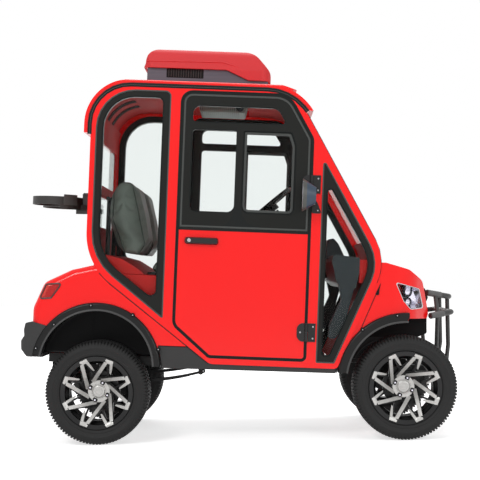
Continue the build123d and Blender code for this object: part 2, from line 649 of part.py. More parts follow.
fender = fender_form()
with BuildPart() as rear_body:
    add(fender)
    with BuildSketch(side_plane(REAR_BODY_Y - TAILLIGHT_DEPTH)):
        add(outline(TAILLIGHT, CLEARANCE))
    extrude(amount=TAILLIGHT_DEPTH, mode=Mode.SUBTRACT)
    mirror(about=Plane.XZ)
    with BuildSketch(Plane.XZ):
        add(window(WELL_FLOOR_REAR_X, CAB_REAR_X - CLEARANCE, WELL_FLOOR_Z - WALL, WELL_FLOOR_Z))
        add(window(REAR_BODY_REAR_X, REAR_BODY_REAR_X + WALL, REAR_BODY_BOTTOM_Z, WELL_FLOOR_Z))
    extrude(amount=ARCH_WALL_Y + 1, both=True)
    with BuildSketch(Plane.XY.offset(WELL_FLOOR_Z)):
        with Locations(((WELL_FLOOR_REAR_X + CAB_REAR_X) / 2, 0)):
            RectangleRounded(
                CAB_REAR_X - WELL_FLOOR_REAR_X - 2 * TRAY_INSET,
                2 * (ARCH_WALL_Y - TRAY_INSET),
                TRAY_INSET,
            )
    extrude(amount=TRAY_HEIGHT, taper=20)
    for side in (-1, 1):
        with BuildSketch(side_plane(side * (ARCH_WALL_Y - CLEARANCE))):
            with Locations((REAR_ARCH_X, REAR_ARCH_Z)):
                Circle(REAR_ARCH_OUTER + CLEARANCE)
        extrude(amount=side * CAB_HALF_WIDTH, mode=Mode.SUBTRACT)
finish(rear_body, "rear_body")

BUMPER_SEAT_X = REAR_BODY_REAR_X - CLEARANCE
BUMPER_BOTTOM_Z = 412
BUMPER_LIP_X = -1112  # front end of the lip below the rear body
BUMPER_WRAP_X = -1050  # front end of its sides, before the arch cuts them
BUMPER_SIDE_Y = REAR_BODY_Y + 9
REAR_BUMPER = [
    (BUMPER_WRAP_X, 578, 0),
    (-1160, 606, 12),
    (-1199, 598, 12),
    (-1207, 560, 14),
    (-1203, 528, 8),
    (-1223, 500, 16),
    (-1220, 455, 16),
    (-1185, 417, 14),
    (BUMPER_WRAP_X, 417, 0),
]
BUMPER_PLAN = [
    (-1235, -BUMPER_SIDE_Y, 70),
    (-1235, BUMPER_SIDE_Y, 70),
    (BUMPER_WRAP_X, BUMPER_SIDE_Y, 0),
    (BUMPER_WRAP_X, -BUMPER_SIDE_Y, 0),
]
FENDER_PLAN = [
    (REAR_BODY_REAR_X, -REAR_BODY_Y, FENDER_ROUNDING),
    (REAR_BODY_REAR_X, REAR_BODY_Y, FENDER_ROUNDING),
    (0, REAR_BODY_Y, 0),
    (0, -REAR_BODY_Y, 0),
]
with BuildPart() as rear_bumper:
    with BuildSketch(Plane.XZ):
        add(outline(REAR_BUMPER))
        with Locations((REAR_ARCH_X, REAR_ARCH_Z)):
            Circle(REAR_ARCH_OUTER + CLEARANCE, mode=Mode.SUBTRACT)
    extrude(amount=BUMPER_SIDE_Y, both=True)
    with BuildSketch(Plane.XY):
        add(outline(BUMPER_PLAN))
        add(outline(FENDER_PLAN, CLEARANCE), mode=Mode.SUBTRACT)
    extrude(amount=FAR, mode=Mode.INTERSECT)
    with BuildSketch(Plane.XZ):
        add(window(BUMPER_SEAT_X - 6, BUMPER_LIP_X, BUMPER_BOTTOM_Z, REAR_BODY_BOTTOM_Z - 2))
    extrude(amount=FLARE_INNER_Y - 10, both=True)
finish(rear_bumper, "rear_bumper")

ROCKER = [(-480, 500, 4), (-300, 500, 0), (-150, 440, 0), (478, 440, 0), (478, 391, 4), (-449, 383, 4)]
ROCKER_INNER_Y, ROCKER_OUTER_Y = CAB_HALF_WIDTH - 38, CAB_HALF_WIDTH - 5
with BuildPart() as rocker_panels:
    with BuildSketch(side_plane(ROCKER_OUTER_Y)):
        add(outline(ROCKER))
        add(outline(CAB_SIDE, CLEARANCE), mode=Mode.SUBTRACT)
    extrude(amount=-(ROCKER_OUTER_Y - ROCKER_INNER_Y))
    mirror(about=Plane.XZ)
finish(rocker_panels, "rocker_panels")

# Fender flares: bands round the arches
ARCHES = [
    (REAR_ARCH_X, REAR_ARCH_Z, REAR_ARCH_INNER, REAR_ARCH_OUTER, FAR, 390),
    (FRONT_ARCH_X, FRONT_ARCH_Z, FRONT_ARCH_INNER, FRONT_ARCH_OUTER, FLARE_FRONT_X, 397),
]
FLARE_REAR_Z = REAR_BODY_BOTTOM_Z  # rear foot of the rear flares
FLARE_EDGE = 14
FLARE_TAB = [(FLARE_FRONT_X, 704, 0), (FLARE_FRONT_X - 30, 664, 0), (FLARE_FRONT_X, 664, 0)]
LINER_FRONT_X = POD_REAR_X - CLEARANCE


def liner_outline(grow):
    """Part of the rear arch behind the seat pod, where a thin liner parts the tyre from the bag well."""
    with BuildSketch() as face:
        with Locations((REAR_ARCH_X, REAR_ARCH_Z)):
            Circle(REAR_ARCH_OUTER + grow)
        add(window(-FAR, FAR, -FAR, REAR_BODY_BOTTOM_Z), mode=Mode.SUBTRACT)
        add(window(LINER_FRONT_X + (0 if grow == 0 else FAR), 2 * FAR, -FAR, FAR), mode=Mode.SUBTRACT)
    return face.sketch


with BuildPart() as fender_flares:
    for x, z, inner, outer, front_end, bottom in ARCHES:
        with BuildSketch(side_plane(FLARE_OUTER_Y)):
            with Locations((x, z)):
                Circle(outer)
                Circle(inner, mode=Mode.SUBTRACT)
            add(window(-FAR, FAR, -FAR, bottom), mode=Mode.SUBTRACT)
            add(window(front_end, 2 * FAR, -FAR, FAR), mode=Mode.SUBTRACT)
            add(window(-FAR, REAR_ARCH_X, -FAR, FLARE_REAR_Z), mode=Mode.SUBTRACT)
            add(outline(FLARE_TAB), mode=Mode.SUBTRACT)
        extrude(amount=-(FLARE_OUTER_Y - FLARE_INNER_Y))
    bands = fender_flares.faces().filter_by_position(Axis.Y, -FLARE_OUTER_Y - 1, -FLARE_OUTER_Y + 1)
    fillet(bands.edges().filter_by(GeomType.CIRCLE), FLARE_EDGE)
    with BuildSketch(side_plane(CAB_HALF_WIDTH + CLEARANCE)):
        add(outline(CAB_SIDE, CLEARANCE))
    extrude(amount=-SIDE_DEPTH * 2, mode=Mode.SUBTRACT)
    with BuildSketch(side_plane(FLARE_INNER_Y)):
        add(liner_outline(0))
        add(liner_outline(-LINER), mode=Mode.SUBTRACT)
    extrude(amount=-(FLARE_INNER_Y - ARCH_WALL_Y))
    with BuildSketch(side_plane(ARCH_WALL_Y)):
        add(liner_outline(0))
    extrude(amount=LINER)
    mirror(about=Plane.XZ)
finish(fender_flares, "fender_flares")

# Front cowl: its side and plan outlines crossed, with headlights and nose panel let in
COWL_BOTTOM_Z = 699
COWL_SIDE = [
    (560, 1000, 0),
    (732, 996, 0),
    (860, 964, 60),
    (946, 905, 50),
    (995, 725, 18),
    (985, COWL_BOTTOM_Z, 5),
    (FLARE_FRONT_X + 2, COWL_BOTTOM_Z, 0),
    (862, 650, 0),
    (530, 455, 0),
    (480, 455, 0),
]
COWL_Y = CAB_HALF_WIDTH - 8
COWL_PLAN = [
    (400, -COWL_Y, 0),
    (865, -COWL_Y, 170),
    (1003, 215 - COWL_Y, 150),
    (1003, COWL_Y - 215, 150),
    (865, COWL_Y, 170),
    (400, COWL_Y, 0),
]
COWL_INNER_TOP = 640  # underside of the hood over the front axle
HEADLIGHT = [
    (784, 894, 8),
    (925, 862, 12),
    (958, 756, 12),
    (875, 748, 18),
    (832, 792, 20),
]
HEADLIGHT_INNER_Y = CAB_HALF_WIDTH - 205
NOSE = [(940, 872, 2), (976, 878, 8), (1000, 860, 10), (1018, 812, 10), (1002, 766, 6), (968, 766, 2)]
NOSE_HALF_WIDTH = 190
VALANCE = [(872, 720, 0), (1003, 720, 0), (1003, 690, 6), (1010, 612, 12), (958, 600, 10), (884, 640, 4)]
VALANCE_HALF_WIDTH = 255


def front_arch():
    """Opening in the cowl for a front flare, which ends over the axle."""
    with BuildSketch() as face:
        with Locations((FRONT_ARCH_X, FRONT_ARCH_Z)):
            Circle(FRONT_ARCH_OUTER + CLEARANCE)
        add(window(FLARE_FRONT_X + CLEARANCE, 2 * FAR, -FAR, FAR), mode=Mode.SUBTRACT)
    return face.sketch


def cowl_form():
    """Whole front cowl before its lamps and nose panel are let in."""
    with BuildPart() as form:
        with BuildSketch(Plane.XZ):
            add(outline(COWL_SIDE))
            add(outline(CAB_SIDE, CLEARANCE), mode=Mode.SUBTRACT)
            add(front_arch(), mode=Mode.SUBTRACT)
        extrude(amount=REAR_BODY_Y, both=True)
        with BuildSketch(Plane.XY):
            add(outline(COWL_PLAN))
        extrude(amount=FAR, mode=Mode.INTERSECT)
        with BuildSketch(Plane.XZ):
            add(window(0, FRONT_ARCH_X, 0, COWL_INNER_TOP))
        extrude(amount=RAIL_Y + RAIL_WIDTH, both=True, mode=Mode.SUBTRACT)
    return form.part


cowl = cowl_form()
with BuildPart() as front_cowl:
    add(cowl)
    for side in (-1, 1):
        with BuildSketch(side_plane(side * HEADLIGHT_INNER_Y)):
            add(outline(HEADLIGHT, CLEARANCE))
        extrude(amount=side * CAB_HALF_WIDTH, mode=Mode.SUBTRACT)
    with BuildSketch(Plane.XZ):
        add(outline(NOSE, CLEARANCE))
    extrude(amount=NOSE_HALF_WIDTH + CLEARANCE, both=True, mode=Mode.SUBTRACT)
finish(front_cowl, "front_cowl")

with BuildPart() as headlights:
    for side in (-1, 1):
        with BuildSketch(side_plane(side * (HEADLIGHT_INNER_Y + CLEARANCE))):
            add(outline(HEADLIGHT))
        extrude(amount=side * CAB_HALF_WIDTH)
    add(cowl, mode=Mode.INTERSECT)
finish(headlights, "headlights")

with BuildPart() as nose_panel:
    with BuildSketch(Plane.XZ):
        add(outline(NOSE))
    extrude(amount=NOSE_HALF_WIDTH, both=True)
finish(nose_panel, "nose_panel")

with BuildPart() as front_valance:
    with BuildSketch(Plane.XZ):
        add(outline(VALANCE))
        add(outline(COWL_SIDE, CLEARANCE), mode=Mode.SUBTRACT)
        add(window(-FAR, FAR, COWL_BOTTOM_Z + 3, FAR), mode=Mode.SUBTRACT)
    extrude(amount=VALANCE_HALF_WIDTH, both=True)
finish(front_valance, "front_valance")

# Tail lights let into the shoulders of the fenders
with BuildPart() as taillights:
    with BuildSketch(side_plane(REAR_BODY_Y - TAILLIGHT_DEPTH + CLEARANCE)):
        add(outline(TAILLIGHT))
    extrude(amount=TAILLIGHT_DEPTH)
    add(fender, mode=Mode.INTERSECT)
    mirror(about=Plane.XZ)
finish(taillights, "taillights")

# Steering column and wheel, on the left
STEERING_X, STEERING_Y, STEERING_Z = 96, SEAT_Y + 20, 1323
STEERING_TILT = 42
STEERING_RADIUS = 175
STEERING_GRIP = 14
COLUMN_LENGTH = (DASH_FACE_X - STEERING_X) / sin(radians(STEERING_TILT))
COLUMN_TOP = 50  # below the plane of the steering wheel's rim
COLUMN_RADIUS = 30
SHAFT_RADIUS = 10
steering_plane = Plane(
    origin=(STEERING_X, STEERING_Y, STEERING_Z),
    x_dir=(0, 1, 0),
    z_dir=(-sin(radians(STEERING_TILT)), 0, cos(radians(STEERING_TILT))),
)
with BuildPart() as steering_column:
    with BuildSketch(steering_plane.offset(-COLUMN_LENGTH)):
        Circle(COLUMN_RADIUS)
    extrude(amount=COLUMN_LENGTH - COLUMN_TOP)
    with BuildSketch(steering_plane.offset(-COLUMN_TOP)):
        Circle(SHAFT_RADIUS)
    extrude(amount=COLUMN_TOP - 20)

HUB_PLATE_RADIUS = 45
SPOKE_ANGLES = (90, 210, 330)
with BuildPart() as steering_wheel:
    with BuildSketch(steering_plane.offset(-COLUMN_TOP + 5)):
        Circle(HUB_PLATE_RADIUS)
    extrude(amount=COLUMN_TOP - 15)
    with BuildSketch(steering_plane.offset(-14)):
        for angle in SPOKE_ANGLES:
            with Locations(Rot(0, 0, angle) * Pos(STEERING_RADIUS / 2, 0)):
                Rectangle(STEERING_RADIUS - STEERING_GRIP, 32)
    extrude(amount=10)
    with BuildSketch(steering_plane.offset(-COLUMN_TOP)):
        Circle(SHAFT_RADIUS + PIN_CLEARANCE)
    extrude(amount=COLUMN_TOP - 20 + CLEARANCE, mode=Mode.SUBTRACT)
    with Locations(steering_plane):
        Torus(STEERING_RADIUS - STEERING_GRIP, STEERING_GRIP)

# Dashboard with a pod in the middle, and two pedals
DASH = [
    (DASH_FACE_X - 28, 990, 15),
    (DASH_FACE_X - 20, 1030, 20),
    (SCUTTLE_X, 1018, 8),
    (SCUTTLE_X, 945, 0),
    (575, 850, 0),
    (505, 850, 10),
    (DASH_FACE_X, 880, 20),
]
DASH_SIDE = [
    (DASH_FACE_X + 10, 870, 0),
    (SCUTTLE_X - 15, 900, 0),
    (524, 662, 10),
    (476, 575, 20),
    (436, 575, 10),
    (440, 650, 30),
    (500, 790, 40),
]
DASH_SIDE_DEPTH = 60
DASH_POD = [(436, 1010, 5), (440, 1122, 14), (476, 1132, 14), (506, 1100, 20), (552, 1010, 5)]
with BuildPart() as dashboard:
    with BuildSketch(Plane.XZ):
        add(outline(DASH))
        add(outline(CAB_SIDE, -PANEL_INSET - WALL_DEPTH - CLEARANCE), mode=Mode.INTERSECT)
    extrude(amount=INNER_Y - CLEARANCE, both=True)
    for side in (-1, 1):
        with BuildSketch(side_plane(side * (INNER_Y - CLEARANCE))):
            add(outline(DASH_SIDE))
            add(outline(CAB_SIDE, -PANEL_INSET - WALL_DEPTH - CLEARANCE), mode=Mode.INTERSECT)
        extrude(amount=-side * DASH_SIDE_DEPTH)
    with BuildSketch(Plane.XZ):
        add(outline(DASH_POD))
    extrude(amount=70, both=True)
    with BuildSketch(steering_plane.offset(-COLUMN_LENGTH - 50)):
        Circle(COLUMN_RADIUS + CLEARANCE)
    extrude(amount=COLUMN_LENGTH, mode=Mode.SUBTRACT)
finish(dashboard, "dashboard")
finish(steering_column, "steering_column")
finish(steering_wheel, "steering_wheel")

PEDAL_Y = (STEERING_Y - 70, STEERING_Y + 70)
PEDAL_FOOT_Z = FLOOR_TOP + CLEARANCE
PEDAL_ARM = [(360, 560, 4), (395, 570, 4), (450, PEDAL_FOOT_Z, 2), (425, PEDAL_FOOT_Z, 2)]
PEDAL_PAD = [(345, 540, 4), (375, 640, 4), (388, 636, 4), (358, 536, 4)]
PEDAL_ARM_WIDTH, PEDAL_PAD_WIDTH = 24, 80
with BuildPart() as pedals:
    for y in PEDAL_Y:
        for shape, width in ((PEDAL_ARM, PEDAL_ARM_WIDTH), (PEDAL_PAD, PEDAL_PAD_WIDTH)):
            with BuildSketch(side_plane(-y)):
                add(outline(shape))
            extrude(amount=width / 2, both=True)
finish(pedals, "pedals")

# Seat: a lifting cushion on the pod and two backs on a tube frame
CUSHION_SEAT_Z = POD_TOP_Z + CLEARANCE
CUSHION = [
    (-560, 965, 30),
    (-150, 985, 40),
    (-112, 950, 30),
    (-125, CUSHION_SEAT_Z, 20),
    (-565, CUSHION_SEAT_Z, 10),
]
with BuildPart() as seat_cushion:
    with BuildSketch(Plane.XZ):
        add(outline(CUSHION))
    extrude(amount=CUSHION_HALF_WIDTH, both=True)
    for side in (-1, 1):
        with Locations(Pos(SEAT_HINGE_X, side * SEAT_HINGE_Y, SEAT_HINGE_Z) * Rot(90, 0, 0)):
            Cylinder(SEAT_HINGE_BARREL, SEAT_HINGE_LENGTH - 6)
            Cylinder(SEAT_HINGE_PIN + PIN_CLEARANCE, SEAT_HINGE_LENGTH, mode=Mode.SUBTRACT)
finish(seat_cushion, "seat_cushion")

SEAT_REAR_X = -780
SEAT_BACK = [
    (SEAT_REAR_X, 1340, 50),
    (SEAT_REAR_X, 1180, 80),
    (-700, 975, 20),
    (-600, 968, 15),
    (-566, 1040, 30),
    (-600, 1210, 150),
    (-655, 1409, 30),
    (-735, 1412, 35),
]
with BuildPart() as seat_backs:
    for side in (-1, 1):
        with BuildSketch(side_plane(side * SEAT_Y)):
            add(outline(SEAT_BACK))
        extrude(amount=SEAT_HALF_WIDTH, both=True)
finish(seat_backs, "seat_backs")

SEAT_FRAME_TUBE = 13
SEAT_FRAME_X = SEAT_REAR_X - SEAT_FRAME_TUBE - CLEARANCE
SEAT_FRAME_TOP = 1300
SEAT_FRAME_POSTS = (SEAT_Y - 150, SEAT_Y + 150)
with BuildPart() as seat_frame:
    for y in SEAT_FRAME_POSTS:
        for side in (-1, 1):
            with Locations((SEAT_FRAME_X, side * y, POD_TOP_Z + CLEARANCE)):
                Cylinder(
                    SEAT_FRAME_TUBE,
                    SEAT_FRAME_TOP - POD_TOP_Z,
                    align=(Align.CENTER, Align.CENTER, Align.MIN),
                )
    with Locations(Pos(SEAT_FRAME_X, 0, SEAT_FRAME_TOP - 10) * Rot(90, 0, 0)):
        Cylinder(SEAT_FRAME_TUBE - 2, 2 * (SEAT_Y + SEAT_HALF_WIDTH - 12))
finish(seat_frame, "seat_frame")

# Golf-bag holder on the bar between the rear windows
HOLDER_X, HOLDER_Y, HOLDER_RADIUS = -1115, 175, 146
HOLDER_BOTTOM_Z, HOLDER_HEIGHT = 1258, 45
STRAP = 8
HOLDER_BAR_Z, HOLDER_BAR_HEIGHT = 1318, 14
HOLDER_BLOCK = (50, 60, 70)
with BuildPart() as bag_holder:
    with BuildSketch(Plane.XY.offset(HOLDER_BOTTOM_Z)):
        for side in (-1, 1):
            with Locations((HOLDER_X, side * HOLDER_Y)):
                Circle(HOLDER_RADIUS)
                Circle(HOLDER_RADIUS - STRAP, mode=Mode.SUBTRACT)
    extrude(amount=HOLDER_HEIGHT)
    with BuildSketch(Plane.XZ):
        add(
            window(
                HOLDER_X + HOLDER_RADIUS,
                CAB_REAR_X + PANEL_INSET - CLEARANCE,
                HOLDER_BAR_Z,
                HOLDER_BAR_Z + HOLDER_BAR_HEIGHT,
            )
        )
    extrude(amount=HOLDER_Y + HOLDER_BLOCK[1] / 2 + 5, both=True)
    for side in (-1, 1):
        with Locations((HOLDER_X + HOLDER_RADIUS + 20, side * HOLDER_Y, HOLDER_BAR_Z - 26)):
            Box(*HOLDER_BLOCK)
finish(bag_holder, "bag_holder")

# Wheels: one dished rim and one tyre form, drawn round the Y axis with the outer face at -Y
RIM_PROFILE = [
    (RIM_LIP_RADIUS, -104),
    (RIM_LIP_RADIUS, -96),
    (RIM_RADIUS, -90),
    (RIM_RADIUS, -58),
    (RIM_RADIUS - 16, -42),
    (RIM_RADIUS - 16, 50),
    (RIM_RADIUS, 66),
    (RIM_RADIUS, 90),
    (RIM_LIP_RADIUS, 96),
    (RIM_LIP_RADIUS, 104),
    (RIM_RADIUS - RIM_WALL, 96),
    (RIM_RADIUS - RIM_WALL, 72),
    (RIM_RADIUS - RIM_WALL - 16, 56),
    (RIM_RADIUS - RIM_WALL - 16, -44),
    (RIM_RADIUS - RIM_WALL, -62),
    (RIM_RADIUS - RIM_WALL, -100),
]
# Spoke as (share of the tip's radius along it, share across it, corner radius): its long arm runs past the
# hub's edge into the next spoke, and its short arm stands on that spoke's long arm
SPOKE_ARMS = [
    (1.0, 0.1, 0),
    (0.142, 0.405, 0),
    (0.115, 0.33, 0),
    (0.895, 0.059, 3),
    (0.895, -0.037, 3),
    (0.49, -0.058, 0),
    (0.49, -0.106, 0),
    (1.0, -0.1, 0),
]
STUD_PHASE = 64
CAP_RADIUS = 30
SPOKE_SECTION = [
    (0, HUB_FACE),
    (HUB_RADIUS, HUB_FACE),
    (HUB_RADIUS + 40, HUB_FACE - 45),
    (RIM_RADIUS - 2, TIP_FACE + 3),
    (SPOKE_TIP, TIP_FACE),
    (SPOKE_TIP, TIP_FACE + 9),
    (RIM_RADIUS, TIP_FACE + 13),
    (RIM_RADIUS - 2, TIP_FACE + 26),
    (HUB_RADIUS + 40, HUB_FACE - 45 + SPOKE_THICKNESS),
    (HUB_RADIUS, HUB_FACE + SPOKE_THICKNESS),
    (0, HUB_FACE + SPOKE_THICKNESS),
]
with BuildPart() as rim_form:
    with BuildSketch(Plane.XZ.offset(120)):
        for spoke in range(SPOKE_COUNT):
            turn = Rot(0, 0, (spoke + 0.5) * 360 / SPOKE_COUNT)
            with Locations(turn):
                add(outline([(SPOKE_TIP * along, SPOKE_TIP * across, r) for along, across, r in SPOKE_ARMS]))
        Circle(SPOKE_HUB_RADIUS)
    extrude(amount=-240)
    with BuildSketch(Plane.XY):
        with BuildLine():
            Polyline(*SPOKE_SECTION, close=True)
        make_face()
    revolve(axis=Axis.Y, mode=Mode.INTERSECT)
    with BuildSketch(Plane.XY):
        with BuildLine():
            Polyline(*RIM_PROFILE, close=True)
        make_face()
    revolve(axis=Axis.Y)
    with BuildSketch(Plane.XZ.offset(-HUB_FACE - SPOKE_THICKNESS)):
        Circle(DRUM_RADIUS)
    extrude(amount=HUB_FACE + SPOKE_THICKNESS - DRUM_BACK)
    with BuildSketch(Plane.XZ.offset(-DRUM_BACK)):
        Circle(SPINDLE_RADIUS + PIN_CLEARANCE)
    extrude(amount=DRUM_BACK - HUB_FACE, mode=Mode.SUBTRACT)
    with BuildSketch(Plane.XZ.offset(-HUB_FACE)):
        Circle(CAP_RADIUS)
        with PolarLocations(STUD_CIRCLE / 2, STUD_COUNT, start_angle=STUD_PHASE):
            RegularPolygon(NUT_RADIUS, 6)
    extrude(amount=NUT_HEIGHT)

TYRE_PROFILE = [
    (TYRE_RADIUS, -85),
    (TYRE_RADIUS - 18, -112),
    (TYRE_RADIUS - 50, -115),
    (RIM_LIP_RADIUS + 6, -106),
    (RIM_LIP_RADIUS + 2, -94),
    (RIM_RADIUS + CLEARANCE, -89),
    (RIM_RADIUS + CLEARANCE, -62),
    (RIM_RADIUS + 20, -70),
    (TYRE_RADIUS - 40, -98),
    (TYRE_RADIUS - 22, -80),
]
with BuildPart() as tyre_form:
    with BuildSketch(Plane.XY):
        with BuildLine():
            Polyline(
                *TYRE_PROFILE,
                *[(radius, -across) for radius, across in reversed(TYRE_PROFILE)],
                close=True,
            )
        make_face()
    revolve(axis=Axis.Y)

WHEELS = [
    ("front_right", FRONT_AXLE_X, -1),
    ("front_left", FRONT_AXLE_X, 1),
    ("rear_right", REAR_AXLE_X, -1),
    ("rear_left", REAR_AXLE_X, 1),
]
for name, x, side in WHEELS:
    turn = 0 if side < 0 else 180
    for form, kind in ((rim_form, "rim"), (tyre_form, "tyre")):
        with BuildPart() as wheel_piece:
            with Locations(Pos(x, side * WHEEL_Y, TYRE_RADIUS) * Rot(0, 0, turn)):
                add(form.part)
        finish(wheel_piece, f"{kind}_{name}", raked=False)

# Front axle beam with a yoke at each end
KNUCKLE_BOTTOM = TYRE_RADIUS - KNUCKLE_HEIGHT / 2
KNUCKLE_TOP = TYRE_RADIUS + KNUCKLE_HEIGHT / 2
YOKE_GAP = 2
YOKE_WEB_Y = (KINGPIN_Y - 60, KINGPIN_Y - 36)
with BuildPart() as front_axle:
    with Locations((FRONT_AXLE_X, 0, TYRE_RADIUS)):
        Box(BEAM, 2 * YOKE_WEB_Y[0], BEAM)
    for side in (-1, 1):
        yoke_height = KNUCKLE_HEIGHT + 2 * YOKE_GAP + 2 * YOKE_PLATE
        with Locations((FRONT_AXLE_X, side * sum(YOKE_WEB_Y) / 2, TYRE_RADIUS)):
            Box(36, YOKE_WEB_Y[1] - YOKE_WEB_Y[0], yoke_height)
        for bottom in (KNUCKLE_BOTTOM - YOKE_GAP - YOKE_PLATE, KNUCKLE_TOP + YOKE_GAP):
            with BuildSketch(Plane.XY.offset(bottom)):
                with Locations((FRONT_AXLE_X, side * KINGPIN_Y)):
                    Circle(YOKE_RADIUS)
                with Locations((FRONT_AXLE_X, side * (KINGPIN_Y + YOKE_WEB_Y[0]) / 2)):
                    Rectangle(36, KINGPIN_Y - YOKE_WEB_Y[0])
                with Locations((FRONT_AXLE_X, side * KINGPIN_Y)):
                    Circle(KINGPIN_RADIUS + PIN_CLEARANCE, mode=Mode.SUBTRACT)
            extrude(amount=YOKE_PLATE)
finish(front_axle, "front_axle", raked=False)

# Knuckles with kingpin, spindle, steering arm and tie rod pin
ARM_Z = TYRE_RADIUS - 30
ARM_HEIGHT = 16
TIE_PIN_LENGTH = 22
TIE_PIN_Z = ARM_Z - ARM_HEIGHT / 2 - TIE_PIN_LENGTH / 2
SPINDLE_END = WHEEL_Y - HUB_FACE - 1
for name, side in (("right", -1), ("left", 1)):
    with BuildPart() as knuckle:
        with Locations((FRONT_AXLE_X, side * KINGPIN_Y, TYRE_RADIUS)):
            Cylinder(KNUCKLE_RADIUS, KNUCKLE_HEIGHT)
            Cylinder(KINGPIN_RADIUS, KNUCKLE_HEIGHT + 2 * (YOKE_GAP + YOKE_PLATE) + 4)
        with BuildSketch(Plane.XZ.offset(-side * KINGPIN_Y)):
            with Locations((FRONT_AXLE_X, TYRE_RADIUS)):
                Circle(SPINDLE_RADIUS)
        extrude(amount=-side * (SPINDLE_END - KINGPIN_Y))
        with Locations((FRONT_AXLE_X - STEERING_ARM / 2 - 5, side * KINGPIN_Y, ARM_Z)):
            Box(STEERING_ARM, 20, ARM_HEIGHT)
        with Locations((FRONT_AXLE_X - STEERING_ARM, side * KINGPIN_Y, TIE_PIN_Z)):
            Cylinder(TIE_PIN_RADIUS, TIE_PIN_LENGTH)
    finish(knuckle, f"knuckle_{name}", raked=False)

# Tie rod: its right eye has more room than its left
TIE_EYE_RADIUS, TIE_EYE_HEIGHT = 13, 16
TIE_Z = ARM_Z - ARM_HEIGHT / 2 - 2 - TIE_EYE_HEIGHT / 2
with BuildPart() as tie_rod:
    with Locations(Pos(FRONT_AXLE_X - STEERING_ARM, 0, TIE_Z) * Rot(90, 0, 0)):
        Cylinder(TIE_ROD_RADIUS, 2 * (KINGPIN_Y - TIE_PIN_RADIUS - 3))
    for side, play in ((-1, 0.6), (1, PIN_CLEARANCE)):
        with Locations((FRONT_AXLE_X - STEERING_ARM, side * KINGPIN_Y, TIE_Z)):
            Cylinder(TIE_EYE_RADIUS, TIE_EYE_HEIGHT)
            Cylinder(TIE_PIN_RADIUS + play, TIE_EYE_HEIGHT, mode=Mode.SUBTRACT)
finish(tie_rod, "tie_rod", raked=False)

# Rear axle with gear case and motor
AXLE_TUBE_RADIUS = 32
GEAR_CASE_RADIUS, GEAR_CASE_WIDTH = 95, 130
BACKPLATE_RADIUS = 105
MOTOR_RADIUS, MOTOR_LENGTH, MOTOR_OFFSET = 78, 260, 125
MOTOR_Y = RAIL_Y - MOTOR_LENGTH / 2 - 95
with BuildPart() as rear_axle:
    with Locations(Pos(REAR_AXLE_X, 0, TYRE_RADIUS) * Rot(90, 0, 0)):
        Cylinder(AXLE_TUBE_RADIUS, 2 * (WHEEL_Y - 60))
        Cylinder(SPINDLE_RADIUS, 2 * SPINDLE_END)
        Cylinder(GEAR_CASE_RADIUS, GEAR_CASE_WIDTH)
    for side in (-1, 1):
        with Locations(Pos(REAR_AXLE_X, side * (WHEEL_Y - 57), TYRE_RADIUS) * Rot(90, 0, 0)):
            Cylinder(BACKPLATE_RADIUS, 8)
    with Locations(Pos(REAR_AXLE_X + MOTOR_OFFSET, MOTOR_Y, TYRE_RADIUS + 5) * Rot(90, 0, 0)):
        Cylinder(MOTOR_RADIUS, MOTOR_LENGTH)
    with Locations((REAR_AXLE_X + MOTOR_OFFSET / 2, 0, TYRE_RADIUS)):
        Box(MOTOR_OFFSET + 15, GEAR_CASE_WIDTH - 20, 120)
finish(rear_axle, "rear_axle", raked=False)

# Rear leaf springs hung from the rails
LEAF_EYES = [(REAR_AXLE_X + 550, TYRE_RADIUS + 82), (REAR_AXLE_X - 265, TYRE_RADIUS + 125)]
LEAF_WIDTH = 46
LEAF_HALF_THICKNESS = 5.5
LEAF_REST = 0.9  # above the axle tube, as the arc's lowest point lies beside it
LEAF_MIDDLE = TYRE_RADIUS + AXLE_TUBE_RADIUS + LEAF_HALF_THICKNESS + LEAF_REST
LEAF_EYE_RADIUS = 14
HANGER_WIDTH = 24
LEAF_PITCH = 2 * LEAF_HALF_THICKNESS - 0.5
LEAF_REACHES = (1, 0.88, 0.6)  # share of the way to the eyes, from the top leaf down
LEAF_TOP = LEAF_MIDDLE + (len(LEAF_REACHES) - 1) * LEAF_PITCH


def rail_underside(x):
    """Height of the underside of the raked rails over a place on the ground."""
    return BODY_LIFT + RAIL_Z / cos(radians(RAKE)) - x * tan(radians(RAKE))


with BuildPart() as leaf_springs:
    for side in (-1, 1):
        with BuildSketch(side_plane(side * RAIL_Y)):
            for leaf, reach in enumerate(LEAF_REACHES):
                middle = LEAF_TOP - leaf * LEAF_PITCH
                ends = [
                    (REAR_AXLE_X + (x - REAR_AXLE_X) * reach, middle + (z - LEAF_TOP) * reach**2)
                    for x, z in LEAF_EYES
                ]
                with BuildLine():
                    ThreePointArc(ends[0], (REAR_AXLE_X, middle), ends[1])
                    offset(amount=LEAF_HALF_THICKNESS, side=Side.BOTH)
                make_face()
            with Locations(*LEAF_EYES):
                Circle(LEAF_EYE_RADIUS)
            for x, z in LEAF_EYES:
                top = rail_underside(x + HANGER_WIDTH / 2) - CLEARANCE
                with Locations((x, (z + top) / 2)):
                    Rectangle(HANGER_WIDTH, top - z)
        extrude(amount=LEAF_WIDTH / 2, both=True)
        with Locations((REAR_AXLE_X, side * RAIL_Y, LEAF_TOP + LEAF_HALF_THICKNESS + 5)):
            Box(90, 60, 12)
finish(leaf_springs, "leaf_springs", raked=False)

